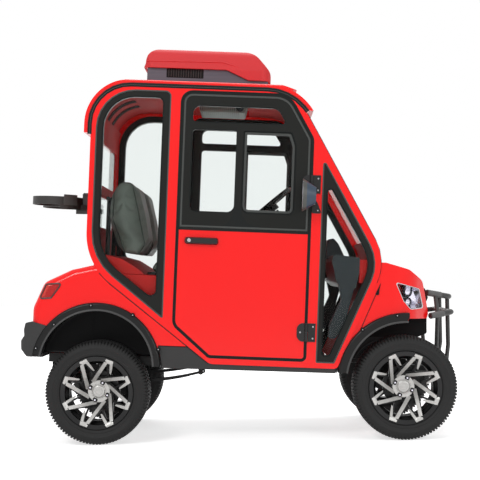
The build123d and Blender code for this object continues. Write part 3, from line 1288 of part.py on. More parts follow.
# Coil shocks over both axles, up to the frame
SHOCK_RADIUS = 24
SHOCKS = [
    (FRONT_AXLE_X, FRONT_RAIL_Y + 85, TYRE_RADIUS + BEAM / 2, RAIL_HEIGHT),
    (REAR_AXLE_X, RAIL_Y - 55, TYRE_RADIUS + AXLE_TUBE_RADIUS, 0),
]
with BuildPart() as shock_absorbers:
    for x, y, seat, rise in SHOCKS:
        bottom = seat + CLEARANCE
        top = rail_underside(x + SHOCK_RADIUS) + rise - CLEARANCE
        for side in (-1, 1):
            with Locations((x, side * y, bottom)):
                Cylinder(SHOCK_RADIUS, top - bottom, align=(Align.CENTER, Align.CENTER, Align.MIN))
finish(shock_absorbers, "shock_absorbers", raked=False)

# Brush guard of bent tube
# Bars as rear end x, y, z and the height of their front, and struts as two points each
GUARD_BARS = [(1034, 330, 784, 758), (1042, 400, 656, 673)]
GUARD_BEND_Y = 90  # from a bar's rear end in to its front corner
GUARD_BEND = 60
GUARD_FOOT_Z = 364
GUARD_STRUTS = [
    ((GUARD_FRONT_X, 150, GUARD_BARS[0][3]), (GUARD_FRONT_X, 150, 480)),
    ((GUARD_FRONT_X, 150, 481), (GUARD_FRONT_X - 18, FRONT_RAIL_Y, GUARD_FOOT_Z)),
    ((1089, 292, 773), (1089, 366, 662)),
    ((1089, 366, 662), (1095, FRONT_RAIL_Y + RAIL_WIDTH / 2 + GUARD_STRUT, GUARD_FOOT_Z - 15)),
]
with BuildPart() as brush_guard:
    for end_x, end_y, end_z, front_z in GUARD_BARS:
        along = (GUARD_FRONT_X - end_x, GUARD_BEND_Y, front_z - end_z)
        with BuildLine():
            FilletPolyline(
                (end_x, -end_y, end_z),
                (GUARD_FRONT_X, GUARD_BEND_Y - end_y, front_z),
                (GUARD_FRONT_X, end_y - GUARD_BEND_Y, front_z),
                (end_x, end_y, end_z),
                radius=GUARD_BEND,
            )
        with BuildSketch(Plane(origin=(end_x, -end_y, end_z), z_dir=along)):
            Circle(GUARD_TUBE)
        sweep()
    for top, foot in GUARD_STRUTS:
        for side in (-1, 1):
            start = Vector(top[0], side * top[1], top[2])
            run = Vector(foot[0], side * foot[1], foot[2]) - start
            with BuildSketch(Plane(origin=start, z_dir=run)):
                Circle(GUARD_STRUT)
            extrude(amount=run.length)
brush_guard.part = Pos(0, 0, BODY_LIFT) * brush_guard.part
finish(brush_guard, "brush_guard", raked=False)
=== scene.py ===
from math import atan2, cos, hypot, pi, radians, sin, tan

import bmesh
import bpy
from mathutils import Matrix, Vector
from mathutils.bvhtree import BVHTree


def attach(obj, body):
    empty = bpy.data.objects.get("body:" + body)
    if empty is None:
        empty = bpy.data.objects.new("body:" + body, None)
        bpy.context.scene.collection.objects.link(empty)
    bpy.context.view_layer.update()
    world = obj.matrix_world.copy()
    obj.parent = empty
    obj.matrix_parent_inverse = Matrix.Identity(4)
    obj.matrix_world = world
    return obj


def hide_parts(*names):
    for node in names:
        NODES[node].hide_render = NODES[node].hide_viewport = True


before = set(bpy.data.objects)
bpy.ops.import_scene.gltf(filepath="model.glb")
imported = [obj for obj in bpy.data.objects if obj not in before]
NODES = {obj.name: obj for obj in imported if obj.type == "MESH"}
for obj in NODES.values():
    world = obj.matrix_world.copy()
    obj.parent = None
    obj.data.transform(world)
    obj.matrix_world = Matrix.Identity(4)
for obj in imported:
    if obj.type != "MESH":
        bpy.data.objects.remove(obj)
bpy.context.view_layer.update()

# Two-seat electric golf cart with a closed cab: looks, lights and camera.
# Sizes are in millimetres in the body's own level frame, as in the part's source, and level() turns
# them into the ground frame in metres. Wheels, axles and springs are drawn straight on the ground.
MM = 0.001
RAKE = radians(3.2)
RIGHT, LEFT = -1, 1
SIDES = (("right", RIGHT), ("left", LEFT))
CAB_HALF_WIDTH = 605
MIRROR_SPLIT_X = 286


def level(x, y, z):
    """Point of the raked body in the ground frame, in metres."""
    return Vector((x * cos(RAKE) + z * sin(RAKE), y, z * cos(RAKE) - x * sin(RAKE))) * MM


def ground(x, y, z):
    """Point drawn straight on the ground, in metres."""
    return Vector((x, y, z)) * MM


# Colours and textures

def srgb(red, green, blue):
    """Linear colour of a display colour in 0 to 255."""
    channels = [value / 255 for value in (red, green, blue)]
    linear = [c / 12.92 if c <= 0.04045 else ((c + 0.055) / 1.055) ** 2.4 for c in channels]
    return (*linear, 1.0)


class Nodes:
    """Node tree of a world or material, to which nodes are added together with their links."""

    def __init__(self, owner):
        owner.use_nodes = True
        self.tree = owner.node_tree

    def feed(self, target, inputs):
        """Links the inputs that are given a socket, and sets the others."""
        for key, value in inputs.items():
            if isinstance(value, bpy.types.NodeSocket):
                self.tree.links.new(value, target.inputs[key])
            else:
                target.inputs[key].default_value = value

    def add(self, kind, output, inputs=None, **settings):
        """One output of a new node."""
        made = self.tree.nodes.new(f"ShaderNode{kind}")
        for key, value in settings.items():
            setattr(made, key, value)
        self.feed(made, inputs or {})
        return made.outputs[output]

    def math(self, operation, *values):
        return self.add("Math", 0, dict(enumerate(values)), operation=operation)

    def span(self, value, low, high):
        """A value of 0 to 1 brought between two others."""
        return self.add("MapRange", "Result", {"Value": value, "To Min": low, "To Max": high})

    def mix(self, factor, low, high, **settings):
        """Colour between two others."""
        inputs = {"Factor": factor, "A": low, "B": high}
        return self.add("Mix", "Result", inputs, data_type="RGBA", **settings)

    def seen(self):
        """1 for rays that look straight, by gloss or through glass."""
        total = self.add("LightPath", "Is Camera Ray")
        for kind in ("Is Glossy Ray", "Is Transmission Ray"):
            total = self.math("MAXIMUM", total, self.add("LightPath", kind))
        return total


class Finish(Nodes):
    """Material whose textures follow the place on the piece."""

    def __init__(self, name):
        self.material = bpy.data.materials.new(name)
        super().__init__(self.material)
        self.place = self.add("TexCoord", "Object")

    def noise(self, scale, detail):
        return self.add("TexNoise", "Fac", {"Vector": self.place, "Scale": scale, "Detail": detail})

    def relief(self, height, depth, strength):
        return self.add("Bump", "Normal", {"Height": height, "Distance": depth, "Strength": strength})

    def done(self, inputs):
        """The material, with these inputs of its shader."""
        self.feed(self.tree.nodes["Principled BSDF"], inputs)
        return self.material


def shade(color, factor):
    """Colour made lighter or darker."""
    return (*[min(1.0, channel * factor) for channel in color[:3]], 1.0)


def surface(name, color, rough, metal=0.0, spread=0.08, patch=3.0, grain=900.0, depth=0.00004,
            rough_spread=0.06, specular=0.5):
    """Procedural finish: slow colour and gloss changes, and a fine grain in relief."""
    finish = Finish(name)
    slow = finish.noise(patch, 4.0)
    return finish.done({
        "Base Color": finish.mix(slow, shade(color, 1 - spread), shade(color, 1 + spread)),
        "Roughness": finish.span(slow, max(0.02, rough - rough_spread), min(1.0, rough + rough_spread)),
        "Normal": finish.relief(finish.noise(grain, 2.0), depth, 0.6),
        "Metallic": metal,
        "Specular IOR Level": specular,
    })


def vinyl(name, color):
    """Seat vinyl with a leather-like cell grain."""
    finish = Finish(name)
    cells = finish.add("TexVoronoi", "Distance", {"Vector": finish.place, "Scale": 260.0},
                       feature="DISTANCE_TO_EDGE")
    soft = finish.add("MapRange", "Result", {"Value": cells, "From Max": 0.12})
    slow = finish.noise(9.0, 5.0)
    return finish.done({
        "Base Color": finish.mix(slow, shade(color, 0.78), shade(color, 1.2)),
        "Roughness": finish.span(slow, 0.36, 0.56),
        "Normal": finish.relief(soft, 0.0004, 0.5),
        "Sheen Weight": 0.15,
    })


def clear(name, color, rough, ior):
    """Clear pane or lens with a trace of uneven gloss."""
    finish = Finish(name)
    slow = finish.noise(6.0, 3.0)
    return finish.done({
        "Base Color": finish.mix(slow, shade(color, 0.985), color),
        "Roughness": finish.span(slow, 0.0, 2 * rough),
        "Transmission Weight": 1.0,
        "IOR": ior,
    })


def ribbed(name, color, rough, scale, metal=0.0):
    """Finish with fine parallel lines, as on brushed metal or a ribbed lens."""
    finish = Finish(name)
    stretch = finish.add("Mapping", "Vector", {"Vector": finish.place, "Scale": (scale * 0.03, scale, scale)})
    lines = finish.add("TexNoise", "Fac", {"Vector": stretch, "Scale": 1.0, "Detail": 3.0})
    return finish.done({
        "Base Color": finish.mix(lines, shade(color, 0.8), shade(color, 1.15)),
        "Roughness": finish.span(lines, max(0.05, rough - 0.1), rough + 0.1),
        "Normal": finish.relief(lines, 0.0002, 0.5),
        "Metallic": metal,
    })


def dotted(name, dot, between):
    """Red lamp lens with rows of small bright prisms behind it."""
    finish = Finish(name)
    cells = finish.add("TexVoronoi", "Distance", {"Vector": finish.place, "Scale": 130.0, "Randomness": 0.15})
    spot = finish.add("MapRange", "Result", {"Value": cells, "From Min": 0.2, "From Max": 0.5})
    return finish.done({
        "Base Color": finish.mix(spot, dot, between),
        "Normal": finish.relief(spot, 0.001, 0.3),
        "Roughness": 0.12,
        "Specular IOR Level": 0.3,
    })


def fittings(name, black, dome, rim):
    """Black door fittings; the mirror's dome and rim are told apart by their place."""
    finish = Finish(name)
    aside = finish.math("ABSOLUTE", finish.add("SeparateXYZ", "Y", {"Vector": finish.place}))
    on_mirror = finish.math("GREATER_THAN", aside, (CAB_HALF_WIDTH + 32) * MM)
    forward = finish.add("VectorMath", "Value", {0: finish.place, 1: (cos(RAKE), 0, -sin(RAKE))},
                         operation="DOT_PRODUCT")
    behind = finish.math("LESS_THAN", forward, MIRROR_SPLIT_X * MM)
    slow = finish.noise(14.0, 4.0)
    tone = finish.mix(on_mirror, black, finish.mix(behind, dome, rim))
    return finish.done({
        "Base Color": finish.mix(slow, tone, (0.75, 0.75, 0.75, 1), blend_type="MULTIPLY"),
        "Roughness": finish.span(slow, 0.28, 0.42),
        "Specular IOR Level": 0.35,
    })


PAINT = surface("red_gelcoat", srgb(252, 20, 20), 0.16, spread=0.02, grain=350.0, depth=0.00002, rough_spread=0.02,
                specular=0.32)
COVER_RED = surface("ac_cover_red", srgb(204, 52, 56), 0.5, spread=0.05, patch=8.0, grain=600.0, specular=0.3)
# Matte red of the cab's inside, darker than the body's paint: partly a matte inside finish, partly painted shade
# for the dim inside
SHADED_INNER_RED = surface("inner_red_painted_shade", srgb(188, 42, 40), 0.6, spread=0.08, specular=0.04)
SASH = surface("window_frame_black", srgb(25, 26, 24), 0.42, spread=0.15, grain=1400.0, specular=0.16)
# Lighter grey for the rounded edges and lips of the black frames: a painted highlight where light catches them; the
# sliding frames use it too
EDGE_HIGHLIGHT_GREY = surface("frame_edge_highlight_grey", srgb(62, 65, 63), 0.35, spread=0.12, grain=1400.0, specular=0.4)
RUBBER = surface("seal_rubber", srgb(14, 18, 17), 0.6, spread=0.2, patch=14.0, grain=1600.0, specular=0.2)
STEEL_BLACK = surface("powder_coat_black", srgb(26, 26, 26), 0.42, spread=0.15, patch=10.0, grain=1800.0,
                      depth=0.0001, specular=0.3)
GUARD = surface("guard_grey", srgb(58, 58, 58), 0.45, spread=0.18, patch=18.0, grain=1500.0, depth=0.0003,
                specular=0.4)
PLASTIC = surface("moulded_black", srgb(20, 20, 20), 0.3, spread=0.15, patch=7.0, grain=2200.0,
                  depth=0.0001, specular=0.22)
SLEEVE = surface("guard_sleeve", srgb(92, 92, 92), 0.7, spread=0.3, patch=40.0, grain=500.0, depth=0.0006)
BUMPER_GREY = surface("bumper_grey", srgb(50, 50, 50), 0.6, spread=0.15, patch=9.0, grain=2400.0, depth=0.0002,
                      specular=0.3)
DASH_PLASTIC = surface("dash_black", srgb(30, 38, 42), 0.4, spread=0.3, patch=9.0, grain=1500.0, depth=0.0002,
                       specular=0.35)
WEBBING = ribbed("strap_webbing", srgb(38, 35, 33), 0.5, 900.0)
GREY_PLASTIC = surface("vent_grey", srgb(128, 138, 130), 0.5, spread=0.08)
SHEET_METAL = ribbed("ac_base_metal", srgb(92, 88, 96), 0.34, 90.0, metal=0.7)
DARK = surface("dark_inside", srgb(14, 14, 15), 0.6, spread=0.3, specular=0.15)
# The headliner's red darkened: painted shade inside the ceiling slots
SLOT_SHADE_RED = surface("ceiling_slot", srgb(46, 14, 14), 0.7, spread=0.2, specular=0.05)
CHROME = surface("lamp_chrome", srgb(214, 212, 222), 0.16, metal=1.0, spread=0.05, depth=0.00001)
STEEL = ribbed("plated_steel", srgb(178, 178, 180), 0.3, 200.0, metal=1.0)
IRON = surface("cast_iron", srgb(34, 34, 34), 0.6, metal=0.3, spread=0.25, patch=18.0, grain=500.0,
               depth=0.0004, specular=0.3)
ALLOY = ribbed("machined_alloy", srgb(196, 195, 192), 0.36, 160.0, metal=0.35)
ALLOY_BLACK = surface("alloy_black", srgb(12, 12, 13), 0.3, spread=0.15, specular=0.35)
TYRE = surface("tyre_rubber", srgb(33, 33, 33), 0.62, spread=0.2, patch=12.0, grain=900.0, depth=0.0002,
               specular=0.25)
SEAT = vinyl("seat_vinyl", srgb(84, 92, 84))
SEAM = surface("seat_piping", srgb(50, 56, 51), 0.5, spread=0.1, specular=0.3)
PANE = clear("window_glass", srgb(246, 249, 248), 0.02, 1.12)
LENS = clear("lamp_lens", srgb(252, 252, 255), 0.01, 1.15)
WHITE = surface("warm_white", srgb(226, 226, 230), 0.35, spread=0.03)
BRONZE = surface("lamp_bezel", srgb(72, 48, 44), 0.3, spread=0.2, patch=20.0, specular=0.4)
PLATE_GREY = surface("mirror_rim", srgb(74, 76, 74), 0.4, spread=0.15, patch=20.0)
CASE = surface("battery_case", srgb(48, 49, 54), 0.6, spread=0.1)
CARPET = surface("floor_mat", srgb(26, 27, 28), 0.85, spread=0.25, patch=30.0, grain=700.0, depth=0.001)
FITTINGS = fittings("door_fittings", srgb(28, 28, 29), srgb(58, 74, 92), srgb(84, 85, 82))
LENS_RED = dotted("tail_lens", srgb(252, 96, 80), srgb(178, 26, 26))

FINISHES = {
    PAINT: ("side_frame_right", "side_frame_left", "door_panel_right", "door_panel_left", "roof_shell",
            "rear_body", "front_cowl"),
    SHADED_INNER_RED: ("rear_wall", "front_wall", "seat_pod"),
    COVER_RED: ("ac_cover",),
    SHEET_METAL: ("ac_base",),
    GREY_PLASTIC: ("ceiling_vent",),
    SASH: ("window_surrounds", "door_sash_right", "door_sash_left"),
    PANE: ("quarter_glass", "door_glass_right", "door_glass_left", "rear_glass", "windshield"),
    STEEL_BLACK: ("hinge_brackets", "chassis_frame", "seat_frame", "tie_rod"),
    FITTINGS: ("door_hardware_right", "door_hardware_left"),
    GUARD: ("brush_guard",),
    WEBBING: ("bag_holder",),
    BUMPER_GREY: ("rear_bumper", "rocker_panels"),
    PLASTIC: ("fender_flares", "nose_panel", "front_valance", "pedals", "steering_column", "steering_wheel"),
    DASH_PLASTIC: ("dashboard",),
    CARPET: ("floor_pan",),
    CASE: ("battery_pack",),
    LENS: ("headlights",),
    LENS_RED: ("taillights",),
    ALLOY_BLACK: ("rim_front_right", "rim_front_left", "rim_rear_right", "rim_rear_left"),
    TYRE: ("tyre_front_right", "tyre_front_left", "tyre_rear_right", "tyre_rear_left"),
    IRON: ("front_axle", "rear_axle", "leaf_springs", "shock_absorbers", "knuckle_right", "knuckle_left"),
    SEAT: ("seat_cushion", "seat_backs"),
}


def dress_nodes():
    """Gives each CAD node its finish."""
    for material, names in FINISHES.items():
        for name in names:
            mesh = NODES[name].data
            mesh.materials.clear()
            mesh.materials.append(material)


def new_object(name, data):
    """Object with this data in the scene."""
    made = bpy.data.objects.new(name, data)
    bpy.context.scene.collection.objects.link(made)
    return made


# Camera at the photograph's viewing angle, seen 480 pixels wide
FOCAL_PIXELS = 1253.3
PICTURE_PIXELS = 480
SENSOR_MM = 36
CAMERA_PLACE = (0.072, -7.355, 0.917)
CAMERA_YAW, CAMERA_TILT, CAMERA_ROLL = radians(0.608), radians(90 + 1.463), radians(-1.0)


def add_camera():
    """Long lens on the cart's right side."""
    data = bpy.data.cameras.new("camera")
    data.sensor_width = SENSOR_MM
    data.lens = FOCAL_PIXELS / PICTURE_PIXELS * SENSOR_MM
    camera = new_object("camera", data)
    turn = Matrix.Rotation(CAMERA_YAW, 4, "Z") @ Matrix.Rotation(CAMERA_TILT, 4, "X")
    camera.matrix_world = Matrix.Translation(CAMERA_PLACE) @ turn @ Matrix.Rotation(CAMERA_ROLL, 4, "Z")
    bpy.context.scene.camera = camera


# Lamps as (name, place, width, power), all turned to one point
LAMPS = (
    ("key", (-3.5, -7.0, 6.0), 2.6, 230),
    ("fill", (4.5, -6.5, 3.2), 3.0, 110),
    ("top", (0.0, 1.0, 7.0), 5.0, 170),
    ("back", (-1.0, 7.5, 4.0), 4.0, 150),
)
LAMP_TARGET = Vector((0, 0, 0.9))
WORLD_LIGHT = 0.5
FLOOR_GLOW = 0.62
FLOOR_REACH = 30


def add_lamp(name, place, size, power):
    """Soft round lamp that isn't seen itself."""
    data = bpy.data.lights.new(name, "AREA")
    data.shape = "DISK"
    data.size = size
    data.energy = power
    lamp = new_object(name, data)
    lamp.location = place
    lamp.visible_camera = lamp.visible_transmission = False
    lamp.rotation_mode = "QUATERNION"
    lamp.rotation_quaternion = (LAMP_TARGET - Vector(place)).to_track_quat("-Z", "Y")


def add_surroundings():
    """Pale floor, white world and soft lamps."""
    world = bpy.data.worlds.new("studio")
    bpy.context.scene.world = world
    sky = Nodes(world)
    sky.feed(sky.tree.nodes["Background"],
             {"Color": (1, 1, 1, 1), "Strength": sky.span(sky.seen(), WORLD_LIGHT, 1.0)})
    mesh = bpy.data.meshes.new("floor")
    corners = [(FLOOR_REACH * x, FLOOR_REACH * y, 0) for x, y in ((-1, -1), (1, -1), (1, 1), (-1, 1))]
    mesh.from_pydata(corners, [], [(0, 1, 2, 3)])
    pale = Finish("pale_floor")
    mesh.materials.append(pale.done({
        "Base Color": (0.9, 0.9, 0.9, 1),
        "Roughness": 0.9,
        "Emission Color": (1, 1, 1, 1),
        "Emission Strength": pale.span(pale.seen(), 0.0, FLOOR_GLOW),
    }))
    new_object("floor", mesh)
    for lamp in LAMPS:
        add_lamp(*lamp)


# Mesh tools

def rounded(corners, step=radians(12)):
    """Points round a closed outline of (x, z, corner radius) rows, with each corner as an arc."""
    points = []
    count = len(corners)
    for index, (x, z, radius) in enumerate(corners):
        here = Vector((x, z))
        before = Vector(corners[index - 1][:2]) - here
        after = Vector(corners[(index + 1) % count][:2]) - here
        before.normalize()
        after.normalize()
        half = before.angle(after) / 2
        if radius < 0.5:
            points.append(here)
            continue
        centre = here + (before + after).normalized() * (radius / sin(half))
        start = here + before * (radius / tan(half))
        end = here + after * (radius / tan(half))
        first = atan2(start.y - centre.y, start.x - centre.x)
        sweep = atan2(end.y - centre.y, end.x - centre.x) - first
        sweep = (sweep + pi) % (2 * pi) - pi
        steps = max(2, round(abs(sweep) / step))
        for part in range(steps + 1):
            angle = first + sweep * part / steps
            points.append(centre + Vector((cos(angle), sin(angle))) * radius)
    return points


def turning(points):
    """Signed area of a closed outline, above 0 where it runs anticlockwise."""
    return sum(a.x * b.y - b.x * a.y for a, b in zip(points, points[1:] + points[:1])) / 2


# Least cosine of half a corner's turn, so that a sharp corner isn't drawn out into a spike
MITRE_LIMIT = 0.35
SHARP_EDGE = radians(32)


def neighbours(points, closed):
    """Each point with those before and after it; past an open end that is the point itself."""
    for index, point in enumerate(points):
        before = points[index - 1] if closed or index else point
        after = points[(index + 1) % len(points)] if closed or index < len(points) - 1 else point
        yield point, before, after


def skin(rings, size, closed=False, whole=True, capped=False):
    """Faces over rings of size points: closed joins the last ring to the first, whole each ring's ends."""
    faces = []
    for index in range(rings if closed else rings - 1):
        here, there = index * size, (index + 1) % rings * size
        for side in range(size if whole else size - 1):
            nxt = (side + 1) % size
            faces.append((here + side, here + nxt, there + nxt, there + side))
    if capped:
        faces += [tuple(range(size)), tuple(range((rings - 1) * size, rings * size))]
    return faces


def moved(place, x, z, out=0.0):
    """The same places, counted from another point."""
    return lambda a, b, h: place(x + a, z + b, out + h)


class Parts:
    """Vertices and faces of several forms that become one piece."""

    def __init__(self):
        self.vertices = []
        self.faces = []

    def add(self, vertices, faces):
        start = len(self.vertices)
        self.vertices += vertices
        self.faces += [tuple(start + index for index in face) for face in faces]
        return self

    def take(self, work, place):
        """Moves a bmesh form into this piece."""
        work.verts.index_update()
        self.add([place(*vertex.co) for vertex in work.verts],
                 [tuple(v.index for v in face.verts) for face in work.faces])
        work.free()
        return self

    def plate(self, path, low, high, place):
        """Flat plate with a closed outline in the side plane."""
        vertices = [place(point.x, point.y, out) for out in (low, high) for point in path]
        return self.add(vertices, skin(2, len(path), capped=True))

    def band(self, path, profile, place, closed=True):
        """Profile of (across, out) pairs swept along a path in the side plane; across points outwards."""
        sign = 1 if turning(path) > 0 else -1
        vertices = []
        for point, before, after in neighbours(path, closed):
            first = (point - before).normalized() if before is not point else (after - point).normalized()
            second = (after - point).normalized() if after is not point else first
            normals = [Vector((way.y, -way.x)) * sign for way in (first, second)]
            mean = (normals[0] + normals[1]).normalized()
            reach = 1 / max(MITRE_LIMIT, mean.dot(normals[0]))
            vertices += [place(*(point + mean * across * reach), out) for across, out in profile]
        return self.add(vertices, skin(len(path), len(profile), closed, capped=not closed))

    def run(self, path, profile, place):
        """Band along an open path."""
        return self.band(path, profile, place, closed=False)

    def box(self, centre, size, place=level, bevel=0.0):
        """Box round its centre, with bevelled edges."""
        work = bmesh.new()
        bmesh.ops.create_cube(work, size=1)
        bmesh.ops.scale(work, vec=size, verts=work.verts)
        if bevel:
            bmesh.ops.bevel(work, geom=work.edges, offset=bevel, segments=2, affect="EDGES", profile=0.6)
        bmesh.ops.translate(work, vec=centre, verts=work.verts)
        return self.take(work, place)

    def lathe(self, profile, place, steps=24, closed=False):
        """Profile of (radius, height) pairs turned round an axis; place takes (a, b, height)."""
        vertices = []
        for step in range(steps):
            angle = 2 * pi * step / steps
            vertices += [place(r * cos(angle), r * sin(angle), h) for r, h in profile]
        return self.add(vertices, skin(steps, len(profile), closed=True, whole=closed))

    def tube(self, points, radius, sides=12, closed=False):
        """Round tube along points in metres."""
        vertices, normal = [], None
        for point, before, after in neighbours(points, closed):
            way = (after - before).normalized()
            if normal is None:
                normal = way.orthogonal().normalized()
            normal = (normal - way * normal.dot(way)).normalized()
            across = way.cross(normal)
            for side in range(sides):
                angle = 2 * pi * side / sides
                vertices.append(point + (normal * cos(angle) + across * sin(angle)) * radius * MM)
        return self.add(vertices, skin(len(points), sides, closed, capped=not closed))

    def piece(self, name, material, body="chassis", slot=None, smooth=True):
        """Mesh piece of all forms that rides on a body, smooth but for its sharp edges."""
        mesh = bpy.data.meshes.new(name)
        mesh.from_pydata([tuple(v) for v in self.vertices], [], self.faces)
        mesh.materials.append(material)
        work = bmesh.new()
        work.from_mesh(mesh)
        bmesh.ops.remove_doubles(work, verts=work.verts, dist=1e-6)
        bmesh.ops.recalc_face_normals(work, faces=work.faces)
        if smooth:
            work.normal_update()
            for face in work.faces:
                face.smooth = True
            for edge in work.edges:
                edge.smooth = len(edge.link_faces) == 2 and edge.calc_face_angle(0) < SHARP_EDGE
        work.to_mesh(mesh)
        work.free()
        made = new_object(name, mesh)
        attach(made, body)
        return made


def side_place(side, base=0.0):
    """Places (x, z, out) on a side of the body, out measured from base away from the middle."""
    return lambda x, z, out: level(x, side * (base + out), z)


def strip(half, low, high, crown=0.0):
    """Cross-section of a rubber or trim strip with softened outer corners."""
    edge = min(half * 0.5, (high - low) * 0.5)
    return [(-half, low), (half, low), (half, high - edge), (half - edge, high), (0, high + crown),
            (-half + edge, high), (-half, high - edge)]


# Wheels and axles on the ground
TYRE_RADIUS = 280
WHEEL_Y = 510
FRONT_AXLE_X, REAR_AXLE_X = 875, -785
WHEELS = (
    ("front_right", FRONT_AXLE_X, RIGHT),
    ("front_left", FRONT_AXLE_X, LEFT),
    ("rear_right", REAR_AXLE_X, RIGHT),
    ("rear_left", REAR_AXLE_X, LEFT),
)


def wheel_place(x, side):
    """Places (forward, up, outwards from the middle plane) on a wheel."""
    return lambda a, b, out: ground(x - side * a, side * (WHEEL_Y + out), TYRE_RADIUS + b)


TYRE_SECTION = [
    (196, 92), (199, 101), (204, 106), (210, 107.5), (212, 109.5), (216, 109.5), (218, 108.5), (226, 111.5),
    (236, 113), (238, 114.6), (242, 114.6), (244, 113), (252, 111), (260, 106), (266, 99), (270, 90), (272, 78),
    (273.5, 40), (274, 0),
]
TREAD_STEPS = 96
TREAD_ROWS = (
    (4, 30, 274, 280, 0.0),
    (36, 62, 273, 279.6, 0.5),
)
TYRE_BEADS = [(190, 80), (188, 0), (190, -80)]
# In steps of the tread: half a block's and a shoulder's length, and how far one hand's blocks lie ahead
BLOCK_HALF, SHOULDER_HALF, HAND_SHIFT = 0.36, 0.34, 0.25
BLOCK_SKEW = 0.1


def add_tyre(name, x, side):
    """Tyre with ribs on its wall and blocks on its tread and shoulders."""
    parts = Parts()
    place = wheel_place(x, side)
    walls = [(r, -out) for r, out in TYRE_SECTION] + TYRE_SECTION[-2::-1]
    parts.lathe(walls + TYRE_BEADS, place, steps=96, closed=True)
    step = 2 * pi / TREAD_STEPS
    for index in range(TREAD_STEPS):
        for near, far, low, high, shift in TREAD_ROWS:
            for hand in (-1, 1):
                middle = (index + shift + (HAND_SHIFT if hand > 0 else 0)) * step
                add_block(parts, place, middle, step * BLOCK_HALF, hand * near, hand * far, low, high,
                          hand * BLOCK_SKEW)
        for hand in (-1, 1):
            middle = (index + 0.5 + (HAND_SHIFT if hand > 0 else 0)) * step
            add_shoulder(parts, place, middle, step * SHOULDER_HALF, hand, index % 2)
    piece = parts.piece(f"tyre_tread_{name}", TYRE, f"wheel_{name}", "tyre")
    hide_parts(f"tyre_{name}")


def add_block(parts, place, middle, half, near, far, low, high, skew):
    """Tread block, narrower at its top."""
    vertices = []
    for radius, shrink in ((low - 1, 1.0), (high - 1, 0.94), (high, 0.82)):
        for across in (near, far):
            inset = (near + far) / 2 + (across - (near + far) / 2) * (0.5 + 0.5 * shrink)
            for way in (-1, 1):
                angle = middle + way * half * shrink + skew * half * (1 if across == far else -1)
                vertices.append(place(radius * cos(angle), radius * sin(angle), inset))
    faces = []
    for a in (0, 4):
        b = a + 4
        faces += [(a, a + 1, b + 1, b), (a + 1, a + 3, b + 3, b + 1), (a + 3, a + 2, b + 2, b + 3),
                  (a + 2, a, b, b + 2)]
    faces.append((8, 9, 11, 10))
    parts.add(vertices, faces)


SHOULDER_LINES = (
    ((68, 278.6), (86, 279), (100, 273), (108, 262), (111, 250)),
    ((70, 278.6), (86, 278.6), (99, 272), (106, 263), (108, 257)),
)


def add_shoulder(parts, place, middle, half, hand, kind):
    """Shoulder block that wraps from the tread onto the wall."""
    line = SHOULDER_LINES[kind]
    vertices = []
    for out, radius in line:
        for shrink, drop in ((1.0, 6), (0.92, 1), (0.8, 0)):
            for way in (-1, 1):
                angle = middle + way * half * shrink
                level_in = drop if radius > 262 else drop * 0.5
                r = radius - level_in
                y = out - level_in * 0.6 if radius < 275 else out
                vertices.append(place(r * cos(angle), r * sin(angle), hand * y))
    faces = []
    for ring in range(len(line) - 1):
        a, b = ring * 6, ring * 6 + 6
        for left, right in ((0, 2), (2, 4), (4, 5), (5, 3), (3, 1)):
            faces.append((a + left, a + right, b + right, b + left))
    end = (len(line) - 1) * 6
    faces.append((0, 2, 4, 5, 3, 1))
    faces.append((end, end + 1, end + 3, end + 5, end + 4, end + 2))
    parts.add(vertices, faces)


# Machined faces of the spokes, in millimetres along the spoke's own radius and across it
DISH = ((0, -7), (57, -7), (97, 38), (176, 101), (188, 104), (200, 104.5))
FACE_LIFT = 2.2
SPOKE_FACES = (
    ((189, 18), (112, 38.6), (38, 58), (30, 41), (103, 21.5), (168, 4)),
    ((189, 18), (168, 4), (168, -10), (190, -22)),
    ((190, -22), (168, -10), (144, -15.5), (118, -23.5), (114, -32), (150, -29)),
)
SPOKE_COUNT = 8
HUB_RINGS = [(0, 9.2), (9, 9.2), (10, 8.2), (15, 8.2), (16, 9.4), (20, 9.4), (21, 7.4), (27, 7.2), (30.6, 5),
             (31, -5.2), (35, -7.5), (37, -3.6), (40, -3.6), (42, -5.8), (58, -6), (62, -7), (66, -8), (66, -12)]
STUD_COUNT = 4
STUD_RADIUS = 50.8
STUD_TURN = pi / 4 + 0.35
STUD_RECESS = [(0, -2.6), (11, -2.6), (12.5, -1.8), (13.5, -3.2), (13.5, -6)]
LUG_NUT = [(0, 8), (5, 7.4), (7.5, 5), (8.6, 1), (8.8, -4)]
VALVE = [(0, -4), (3, -4), (3, 4), (0, 5)]
VALVE_PLACE = (150, 60, 70)


def dish_height(radius):
    """Distance of the spokes' front from the wheel's middle plane."""
    for (r0, h0), (r1, h1) in zip(DISH, DISH[1:]):
        if radius <= r1:
            return h0 + (h1 - h0) * (radius - r0) / (r1 - r0)
    return DISH[-1][1]


